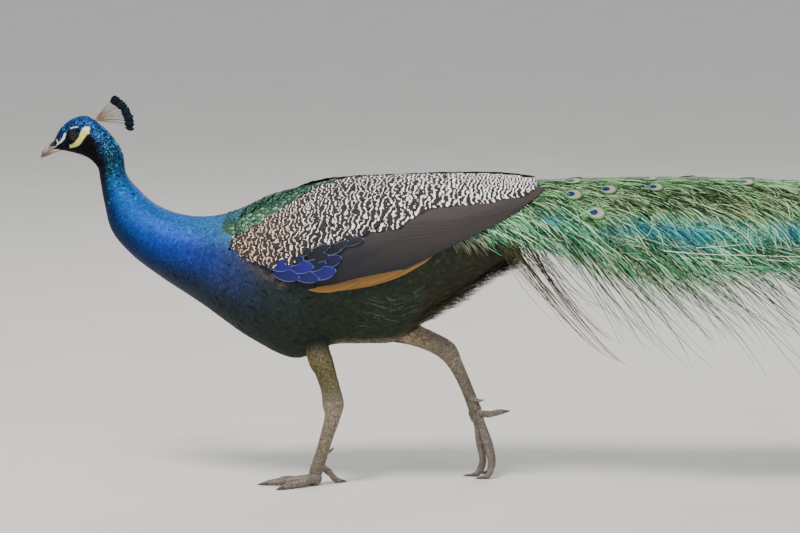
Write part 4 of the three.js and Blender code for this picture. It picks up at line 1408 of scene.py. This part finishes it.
def spot_fringe(fringe, spot_x, spot_angle, spot_length):
    """Loose barbs around each ocellus."""
    each = 24
    bearing = np.tile(np.linspace(-1, 1, each), len(spot_x))
    own_side = np.where(np.repeat(spot_angle, each) < 0, -1, 1)
    x = np.repeat(spot_x, each) + np.cos(bearing * 2.6) * np.repeat(spot_length, each) * 0.36
    a = np.repeat(spot_angle, each) + own_side * np.sin(bearing * 2.6) * np.repeat(spot_length, each) * 0.2
    heading = bearing * 62 * np.where(np.sign(a) == own_side, 1, -1)
    m = len(x)
    hue = mix(mix(GREEN, PALE, rng.random(m) * 0.6), OLIVE, rng.random(m) * 0.6)
    hue = hue * rng.lognormal(0, 0.35, m)[:, None]
    strands(fringe, x, a, rng.uniform(16, 30, m), heading + rng.normal(0, 6, m), heading * 0.6 + 14,
            rng.uniform(0.8, 1.2, m), 0.9, -1.4, plain(hue), rows=4)


def plume_shafts(fringe):
    """Pale shafts of plumes, a few given one by one and the others anywhere on the train."""
    # start and end as (x, degrees), width in mm
    shafts = [
        ((-95, -60.5), (140, -61.5), 1.3), ((-46, -58), (40, -55.5), 1.0), ((-280, -66), (-232, -64.5), 1.0),
        ((60, -63), (230, -66), 1.4), ((-90, 60), (150, 62), 1.5), ((-40, 57), (60, 55), 1.2),
    ]
    hand_set = len(shafts)
    for k in range(60):
        x0 = rng.uniform(-420, 760)
        a0 = rng.uniform(-62, 62)
        shafts.append(((x0, a0), (x0 + rng.uniform(120, 260), a0 + rng.normal(0, 4)), rng.uniform(0.9, 1.4)))
    starts = np.array([s[0] for s in shafts], float)
    ends = np.array([s[1] for s in shafts], float)
    deep = rng.uniform(1.0, 3.5, len(shafts)) + 2.0 * (starts[:, 0] < 130)
    deep[:hand_set] = -0.6
    sway = rng.normal(0, 1.6, len(shafts)) * (np.arange(len(shafts)) >= hand_set)
    grid = lay(train, between(starts, ends, 14, sway), deep, deep, np.array([s[2] for s in shafts]), 3,
               ((0, 1), (1, 0.5)), camber=250, blunt=0)
    shade = rng.uniform(0.45, 0.9, len(shafts))
    shade[:2] = 1.1
    fringe.add(grid, np.clip(rgb(214, 214, 200) * shade[:, None], 0, 1)[:, None, None], train_patch(*ends.T))


def loose_strands(fringe):
    """Strands apart from the layers of barbs: m of each kind."""
    # long dark ones that hang below the hem
    m = 620
    x = rng.uniform(-260, 900, m)
    a = rng.choice([-1, 1], m) * rng.uniform(58, 74, m)
    hue = mix(mix(DARK, GREEN, (rng.random(m) < 0.45) * rng.uniform(0.4, 1, m)), OLIVE, rng.random(m) * 0.5)
    strands(fringe, x, a, rng.uniform(110, 200, m), rng.uniform(20, 50, m), rng.uniform(25, 66, m),
            rng.uniform(0.9, 1.3, m), 1.0, -2.0, plain(hue, 0.1), rows=9, lowest=118.0)
    # steeper ones under the tips of the wings
    m = 70
    x = rng.uniform(-350, -285, m)
    a = rng.choice([-1, 1], m) * rng.uniform(58, 74, m)
    hue = mix(DARK, BRONZE * 0.5, rng.random(m))
    strands(fringe, x, a, rng.uniform(60, 230, m), rng.uniform(60, 88, m), rng.uniform(-12, 36, m),
            rng.uniform(0.9, 1.2, m), 3.0, -1.0, plain(hue, 0.0), rows=10, lowest=118.0)
    # the train's end closes inwards
    m = 2200
    x = rng.uniform(940, 1032, m)
    hue = mix(mix(GREEN, DARK, (rng.random(m) < 0.4) * 0.9), PALE, (rng.random(m) < 0.2) * 0.7)
    strands(fringe, x, rng.choice([-1, 1], m) * rng.uniform(0, 64, m),
            np.minimum(rng.uniform(34, 64, m), 1076 - x), rng.uniform(0, 12, m), rng.uniform(0, 20, m),
            rng.uniform(1.2, 2.0, m), 4.0, rng.uniform(-1, 46, m), plain(hue, 0.1))
    # pale wisps behind the wing
    m = 90
    x = rng.uniform(-432, -372, m)
    hue = hues((92, 104, 76), (168, 176, 146), rng.random(m))
    strands(fringe, x, rng.choice([-1, 1], m) * rng.uniform(66, 76, m), rng.uniform(22, 40, m),
            rng.uniform(10, 40, m), rng.uniform(40, 75, m), rng.uniform(0.7, 1.0, m), 2.0, -1.0,
            plain(hue, 0.1), lowest=98.0)


fringe = Sheets()
spot_fringe(fringe, *train_spots())
plume_shafts(fringe)
loose_strands(fringe)
fringe.piece("train_strands", "barbs")

# ---------------------------------------------------------------- tail under the train
# x, centre height, half width, droop at the edges
TAIL = np.array([(-330, 398, 34, 4), (-200, 397, 48, 9), (0, 392, 60, 14), (95, 386, 52, 12)])


def tail(x, share, depth=0.0):
    centre, half, sag = np.moveaxis(table(TAIL, x), -1, 0)
    return together(x, half * share, centre - sag * share**2 - depth) * MM


tail.steps = 2.0, 0.05


def tail_fan():
    """Nine feathers a side, the outer ones lowest."""
    k = np.arange(18)
    fan = (k // 2 + 1) / 9.5 * np.where(k % 2, 1, -1)
    order = np.argsort(-np.abs(fan))
    start = np.stack([np.full(18, -328.0), fan[order] * 0.45], -1)
    end = np.stack([92 - 40 * np.abs(fan[order]), fan[order] * 0.86], -1)
    tail_feathers = Sheets()
    grid = lay(tail, between(start, end, 16), 3 + np.linspace(2.5, 0, 18), np.linspace(2.0, 0, 18), 25, 7,
               VANE, camber=1.0)
    tail_feathers.add(grid, rgb(96, 84, 66), cells(18))
    tail_feathers.piece("tail_look", "flight", ["tail"])


tail_fan()


# ---------------------------------------------------------------- crest, eyes and bill
CREST_ROOT = np.array([-964, 0, 562])


def crest_feathers():
    """Bare shafts in a fan, each with a small dark vane at its tip."""
    crest = Sheets()
    count = 27
    share = np.linspace(0, 1, count)
    angle = np.radians(50 - 61 * share + rng.normal(0, 0.8, count))
    reach = 38.5 + 11 * share + rng.normal(0, 0.5, count)
    lean = 4.2 * np.sin(np.arange(count) * 2.4)
    aim = np.stack([np.cos(angle), lean / 50, np.sin(angle)], -1)
    v = np.linspace(-0.04, 1, 9)
    bow = np.stack([-np.sin(angle), 0 * angle, np.cos(angle)], -1)
    stalk = CREST_ROOT + aim[:, None] * (reach[:, None] * v)[..., None] + bow[:, None] * (
        1.6 * np.sin(v * 3.1)[None, :, None])
    turns_ = around(5)
    side_ways = np.cross(aim, bow)
    ring = (bow[:, None, None] * np.cos(turns_)[None, None, :, None]
            + side_ways[:, None, None] * np.sin(turns_)[None, None, :, None])
    grid = stalk[:, :, None] + ring * (0.42 - 0.16 * v)[None, :, None, None]
    crest.add(grid * MM, rgb(138, 118, 100), (np.tile([0.25, 0.5], (count, 1)), SMALL_PATCH), ring=True)
    rows, cols = 9, 7
    v, u = np.linspace(0, 1, rows), np.linspace(-1, 1, cols)
    outline = np.interp(v, [0, 0.12, 0.45, 0.75, 1], [0.12, 0.5, 1.0, 0.9, 0.25])
    middle = CREST_ROOT + aim[:, None] * (reach[:, None] - 2 + 14 * v)[..., None]
    wide = (outline * 3.8)[None, :, None, None] * u[None, None, :, None]
    thick = 0.9 * (1 - u**2)[None, None, :, None] * outline[None, :, None, None]
    for face in (-1, 1):
        grid = middle[:, :, None] + bow[:, None, None] * wide
        grid = grid + side_ways[:, None, None] * (face * (thick + 0.05))
        tone = hues((6, 13, 24), (12, 38, 60), rng.random(count) ** 1.5)
        places, width = cells(count)
        # painted shade: each vane darker at its root, under the vanes over it
        crest.add(grid * MM, shaded(tone, 0.5, 1.25, rows), (places, width * 0.9))
    # wisps of barbs on the bare shafts
    m = 150
    k = rng.integers(0, count, m)
    at = rng.uniform(0.12, 0.9, m)
    root = CREST_ROOT + aim[k] * (reach[k] * at)[:, None] + bow[k] * (1.6 * np.sin(at * 3.1))[:, None]
    reached = aim[k] * rng.uniform(2, 4.5, m)[:, None] + bow[k] * rng.normal(0, 1.2, m)[:, None]
    tip = root + reached + rng.normal(0, 0.5, (m, 3))
    half_width = np.array([0.28, 0.2, 0.06])[:, None] * np.array([-1, 1])
    grid = np.stack([root, root * 0.5 + tip * 0.5, tip], 1)[:, :, None] + bow[k][:, None, None] * (
        half_width[None, ..., None])
    crest.add(grid * MM, rgb(120, 96, 74), (np.tile([0.75, 0.5], (m, 1)), SMALL_PATCH))
    crest.piece("crest_look", "soft", ["crest"])


crest_feathers()


def ball(centre, radius, rows=25, cols=40, flatten=(1, 1, 1)):
    """A ball whose poles point across the bird, with each point's angles from a pole and around it."""
    a, b = np.meshgrid(np.linspace(0, math.pi, rows), around(cols), indexing="ij")
    p = np.stack([np.sin(a) * np.cos(b), np.cos(a), np.sin(a) * np.sin(b)], -1) * flatten
    return (np.array(centre) + radius * p)[None] * MM, a, b


def eyeball(side, name):
    eye = Sheets()
    grid, a, b = ball((EYE[0], side * EYE_Y, EYE[1]), EYE_RADIUS)
    from_front = np.sin(a if side > 0 else math.pi - a)
    behind = (np.cos(a) * side) < 0
    vane = together(np.where(behind, 1, from_front), 0.0, 0.0)[None]
    eye.add(grid, rgb(20, 12, 10), whole(), vane, ring=True)
    eye.piece("eyeball_" + name, "eye", ["eye_" + name])


def eyelids(side, name):
    """A soft rim around the eye's opening."""
    lid = Sheets()
    t, a = np.meshgrid(around(40), around(8), indexing="ij")
    rim = 5.0 + 0.6 * np.cos(a)
    x, z = EYE[0] + rim * np.cos(t), EYE[1] + rim * np.sin(t) * 0.88
    bulge = np.sqrt(np.maximum(EYE_RADIUS**2 - (x - EYE[0]) ** 2 - (z - EYE[1]) ** 2, 0))
    y = side * (EYE_Y + bulge + 0.1 + 0.55 * np.sin(a))
    loop = np.stack([x, y, z], -1)
    loop = np.concatenate([loop, loop[:1]])[None] * MM
    lid.add(loop, rgb(18, 17, 22), whole(), ring=True)
    lid.piece("eyelids_" + name, "skin")


for side, name in SIDES:
    eyeball(side, name)
    eyelids(side, name)

BILL_INSET = 0.3
# back x, back z, front x, front z, half width
BILL_UPPER = np.array([
    (-1019, 536, -1021, 518.5, 9.0), (-1027, 531, -1028.4, 518, 7.6), (-1033, 526, -1034.5, 515.2, 6.6),
    (-1040, 520.5, -1040.8, 511, 5.0), (-1045.3, 513.5, -1045, 506, 2.8), (-1047.3, 505, -1046.5, 503.4, 0.5),
])
BILL_LOWER = np.array([
    (-1018, 521, -1017, 515.2, 8.0), (-1028.6, 520, -1028.9, 511, 6.4), (-1036, 517.5, -1035.6, 508, 5.0),
    (-1044.4, 511, -1043.8, 505, 2.0),
])


def bill_part(rows):
    """The upper or lower half of the bill: its points, and each one's place along its rows and around."""
    t, a = np.meshgrid(np.linspace(0, len(rows) - 1, 44), around(40), indexing="ij")
    back, front, half = curve(rows[:, 0:2], t), curve(rows[:, 2:4], t), curve(rows[:, 4:5], t)[..., 0]
    round_ = np.cos(a)[..., None]
    spine = (back + front) / 2 + (back - front) / 2 * round_
    p = np.stack([spine[..., 0] - BILL_INSET, half * np.sin(a) * (1 - 0.18 * np.cos(a)), spine[..., 1]], -1)
    return p, t, a


for name, rows, colour, tip in (("upper", BILL_UPPER, (148, 132, 128), (98, 70, 66)),
                                ("lower", BILL_LOWER, (138, 128, 112), (100, 78, 70))):
    p, t, a = bill_part(rows)
    tone = hues(colour, tip, step_up(t, len(rows) - 3.4, len(rows) - 2.0))
    if name == "upper":
        # the dark cere round the nostril, and the pale cutting edge
        cere = (1 - step_up(t, 1.5, 2.4)) * (1 - step_up(-np.cos(a), 0.1, 0.5))
        tone = mix(tone, rgb(30, 22, 24), cere)
        hole = np.hypot((p[..., 0] + 1030) / 3.0, (p[..., 2] - 523) / 1.3)
        p[..., 1] *= 1 - 0.25 * (1 - step_up(hole, 0.4, 1.0))
        edge = step_up(-np.cos(a), 0.45, 0.85)
        tone = mix(tone, rgb(216, 208, 194), edge * (1 - step_up(t, 2.2, 3.4)))
    bill = Sheets()
    bill.add(capped(p) * MM, ended(tone), whole(0.94), ring=True)
    bill.piece("bill_look_" + name, "horn", ["bill_" + name])

# ---------------------------------------------------------------- legs and feet
CLAW_SHARE = 0.24
# Each toe's points, x, y and z, and its radius at the root and where its claw begins
TOES = {
    -1: {
        "inner": (((-628, -33, 12), (-650, -22, 6.4), (-672, -11, 4.6), (-692, -2, 1.4)), (7, 4.8)),
        "middle": (((-628, -36, 12), (-658, -37, 7), (-690, -38, 4.8), (-716, -39, 1.4)), (7.6, 5)),
        "outer": (((-628, -40, 12), (-648, -56, 6.4), (-668, -70, 4.6), (-686, -82, 1.4)), (7, 4.8)),
        "hind": (((-618, -30, 30), (-605, -24, 18), (-594, -18, 5.2), (-577, -10, 1.2)), (5.6, 4.4)),
    },
    1: {
        "inner": (
            ((-373, 32, 96), (-362, 25, 62), (-353, 20, 22), (-359, 17, 3.9), (-378, 14, 1.4)), (6.6, 4.7)),
        "middle": (
            ((-375, 36, 96), (-371, 36, 62), (-366, 36, 22), (-375, 37, 4.1), (-397, 38, 1.4)), (7.2, 4.9)),
        "outer": (
            ((-373, 40, 96), (-360, 48, 62), (-350, 54, 22), (-356, 57, 3.9), (-374, 61, 1.4)), (6.6, 4.7)),
        "hind": (((-374, 30, 102), (-356, 23, 101), (-341, 18, 105), (-323, 13, 108)), (5.8, 4.4)),
    },
}
# The ball of each foot: centre and radius
PADS = {-1: ((-627, -36, 10.4), 11.5), 1: ((-375, 36, 95), 11)}
SPURS = {
    -1: ((-615, -33, 50), (-604, -26, 51), (-597, -21, 56)),
    1: ((-386, 33, 126), (-373, 26, 122), (-364, 21, 124)),
}
# Nothing of the feet lies lower than this over the floor
SOLE = 0.4


def finger(way, start, end, rows, cols, radius):
    """A round tube along a curve of points: its grid, and its vane in mm along and around."""
    way = np.array(way, float)
    at = np.linspace(start, end, rows)
    p = curve(way, at * (len(way) - 1))
    along = unit(np.gradient(p, axis=0))
    across = unit(np.cross(along, [0, 1.0, 0]) + 1e-9)
    other = np.cross(along, across)
    a = around(cols)
    r = radius(at)[:, None, None]
    cos, sin = np.cos(a)[:, None], np.sin(a)[:, None]
    grid = p[:, None] + across[:, None] * cos * r + other[:, None] * sin * r
    grid[..., 2] = np.maximum(grid[..., 2], SOLE)
    run = np.concatenate([[0], np.cumsum(np.linalg.norm(np.diff(p, axis=0), axis=-1))])
    vane = together(run[:, None], a * 5.0, 0.0)
    return capped(grid) * MM, ended(vane)


def toe_radius(radii):
    def radius(at):
        joints = 1 + 0.07 * np.cos(at * 21)
        return (radii[0] + (radii[1] - radii[0]) * at / (1 - CLAW_SHARE)) * joints

    return radius


def claw_radius(radii):
    return lambda at: radii[1] * 0.8 * np.maximum(0.01, (1 - at) / CLAW_SHARE) ** 0.7


def foot(leg, side, name):
    """The tarsus, the ball of the foot and the toes in scales, and a claw on each toe."""
    scaly = Sheets()
    t, a = np.meshgrid(np.linspace(3.75, 8, 90), around(36), indexing="ij")
    p = leg(t, a)
    run = np.interp(t, np.arange(9), np.concatenate(
        [[0], np.cumsum(np.linalg.norm(np.diff(LEG[side][:, :3], axis=0), axis=-1))]))
    vane = together(run, a * 8.0, 0.0)
    tone = hues((140, 128, 108), (112, 100, 84), step_up(t, 4, 8))
    scaly.add(capped(p), ended(tone), cells(9, 0, 1), ended(vane), ring=True)
    centre, radius = PADS[side]
    grid, a, b = ball(centre, radius, 16, 24)
    grid[..., 2] = np.maximum(grid[..., 2], SOLE * MM)
    vane = together(a * radius, b * radius, 0.0)[None]
    scaly.add(grid, rgb(118, 106, 96), cells(9, 1, 2), vane, ring=True)
    end = LEG[side][-1]
    grid, a, b = ball(end[:3] - np.array([1.0, 0, 3.0]), 10.4, 16, 24, (1, 0.84, 1))
    vane = together(a * 10, b * 10, 0.0)[None]
    scaly.add(grid, rgb(116, 104, 95), cells(9, 6, 7), vane, ring=True)
    for k, (toe, (way, radii)) in enumerate(TOES[side].items()):
        grid, vane = finger(way, 0, 1 - CLAW_SHARE * 0.9, 40, 18, toe_radius(radii))
        scaly.add(grid, rgb(122, 110, 100), cells(9, 2 + k, 3 + k), vane, ring=True)
        claw = Sheets()
        grid, vane = finger(way, 1 - CLAW_SHARE, 1, 24, 14, claw_radius(radii))
        claw.add(grid, rgb(74, 64, 58), whole(), vane, ring=True)
        claw.piece(f"claw_look_{name}_{toe}", "horn", [f"claw_{name}_{toe}"])
    scaly.piece("foot_look_" + name, "scales", ["tarsus_" + name, "foot_" + name])


def spur_of(side, name):
    spur = Sheets()
    grid, vane = finger(SPURS[side], 0, 1, 20, 14, lambda at: 4.4 * (1 - at) + 0.6)
    spur.add(grid, rgb(120, 110, 100), whole(), vane, ring=True)
    spur.piece("spur_look_" + name, "horn", ["spur_" + name])


def thigh_feathers(leg, side, name):
    """Short close feathers, down to the hock."""
    tufts = Sheets()
    roots, turns_ = [], []
    for k, t0 in enumerate(np.arange(0.2, 4.05, 0.055)):
        loop = leg(np.full(41, t0), np.linspace(0, 2 * math.pi, 41)) / MM
        girth = np.linalg.norm(np.diff(loop, axis=0), axis=-1).sum()
        count = int(girth / 2.4)
        roots.append(np.full(count, t0) + rng.normal(0, 0.02, count))
        turns_.append((np.arange(count) + 0.5 * (k % 2)) / count * 2 * math.pi)
    t, turn = np.concatenate(roots), np.concatenate(turns_)
    n = len(t)
    start = np.stack([t, turn], -1)
    end = np.stack([np.minimum(t + rng.uniform(0.22, 0.34, n), 4.3), turn + rng.normal(0, 0.06, n)], -1)
    skin_depth = np.interp(t, [0, 1, 2, 3.4, 4, 4.3], [12, 6, 3.5, 2.2, 1.5, 1.5])
    tip_depth = rng.uniform(-0.4, 0.5, n) + np.interp(t, [0, 1.2], [7, 0])
    grid = lay(leg, between(start, end, 4), skin_depth, tip_depth, 3.2, 3, fray=0.2, camber=8.0)
    # the left thigh's buff is darker than the right's: painted shade from the body over the left, front leg
    light, dark = ((116, 104, 64), (64, 57, 33)) if side < 0 else ((176, 158, 130), (104, 91, 70))
    buff = hues(light, dark, rng.random(n) ** 0.9)
    # greyer towards the hock, like the scales below it
    grey = rgb(122, 110, 98) * rng.uniform(0.7, 1.05, n)[:, None]
    buff = mix(buff, grey, 0.85 * step_up(t, 1.9, 3.9))
    x, z = grid[:, 0, 0, 0] / MM, grid[:, 0, 0, 2] / MM
    # nearly black where each thigh meets the belly: the belly's dark down over it, and on the left thigh
    # painted shade under the belly too
    dark_top = step_up(z, 205, 236) if side < 0 else step_up(-x, 494, 516)
    buff = mix(buff, rgb(20, 20, 16), dark_top)
    roots = np.stack([turn / 6.4 + 0.01, t / 4.4 + 0.01], -1)
    # painted shade: each tuft darker at its root, under the tufts over it
    tufts.add(grid, shaded(buff, 0.6, 1.15, 4), (roots, SMALL_PATCH))
    tufts.piece("thigh_feathers_" + name, "matt")


for side, name in SIDES:
    leg = leg_on(side)
    foot(leg, side, name)
    spur_of(side, name)
    thigh_feathers(leg, side, name)


# ---------------------------------------------------------------- soft feathers of the vent and belly
def vent_feathers():
    """Soft dark down, tipped with gold at its lower edge."""
    fluff = Sheets()
    t, turn, pitch, rate = body_roots(
        15.2, 21, lambda t: np.full(np.shape(t), 5.2),
        lambda t, turn: (np.cos(turn) < 0.15) & (t > 15.4 + 2.2 * step_up(-np.cos(turn), 0.2, 1.0)))
    n = len(t)
    length = rng.uniform(18, 36, n)
    low_edge = step_up(-np.cos(turn), 0.8, 0.98)
    start = np.stack([t, turn], -1)
    end = np.stack([np.minimum(t + length / rate, 21.9), turn + rng.normal(0, 0.08, n)], -1)
    grid = lay(body, between(start, end, 6), coat(t), rng.uniform(-1, 3, n) - low_edge * rng.uniform(0, 9, n),
               rng.uniform(2, 3.6, n), 3, ((0, 0.6), (0.4, 1), (0.8, 0.6), (1, 0.12)), fray=0.35, camber=4.0)
    base = hues((42, 37, 22), (84, 74, 46), rng.random(n))
    gold = hues((132, 108, 68), (70, 58, 38), rng.random(n))
    v = np.linspace(0, 1, 6)[None, :, None, None]
    colour = mix(base[:, None, None], gold[:, None, None], v[..., 0] ** 2 * low_edge[:, None, None])
    fluff.add(grid, np.clip(colour, 0, 1), unwrap(t, turn))
    # loose ends along the lower edge
    m = 1500
    t = rng.uniform(17.2, 20.6, m)
    turn = math.pi + np.clip(rng.normal(0, 0.26, m), -0.44, 0.44)
    start = np.stack([t, turn], -1)
    end = np.stack([t + rng.uniform(16, 42, m) / 52, turn + rng.normal(0, 0.14, m)], -1)
    way = between(start, end, 6, rng.normal(0, 0.03, m))
    grid = lay(body, way, 1.0, -rng.uniform(2, 19, m) * step_up(t, 16.5, 18.5), rng.uniform(0.9, 2.0, m), 2,
               ((0, 1), (0.7, 0.7), (1, 0.15)))
    tone = hues((34, 30, 20), (84, 72, 44), rng.random(m) ** 1.5)
    fluff.add(grid, tone[:, None, None], unwrap(t, turn))
    fluff.piece("vent_feathers", "matt")


vent_feathers()
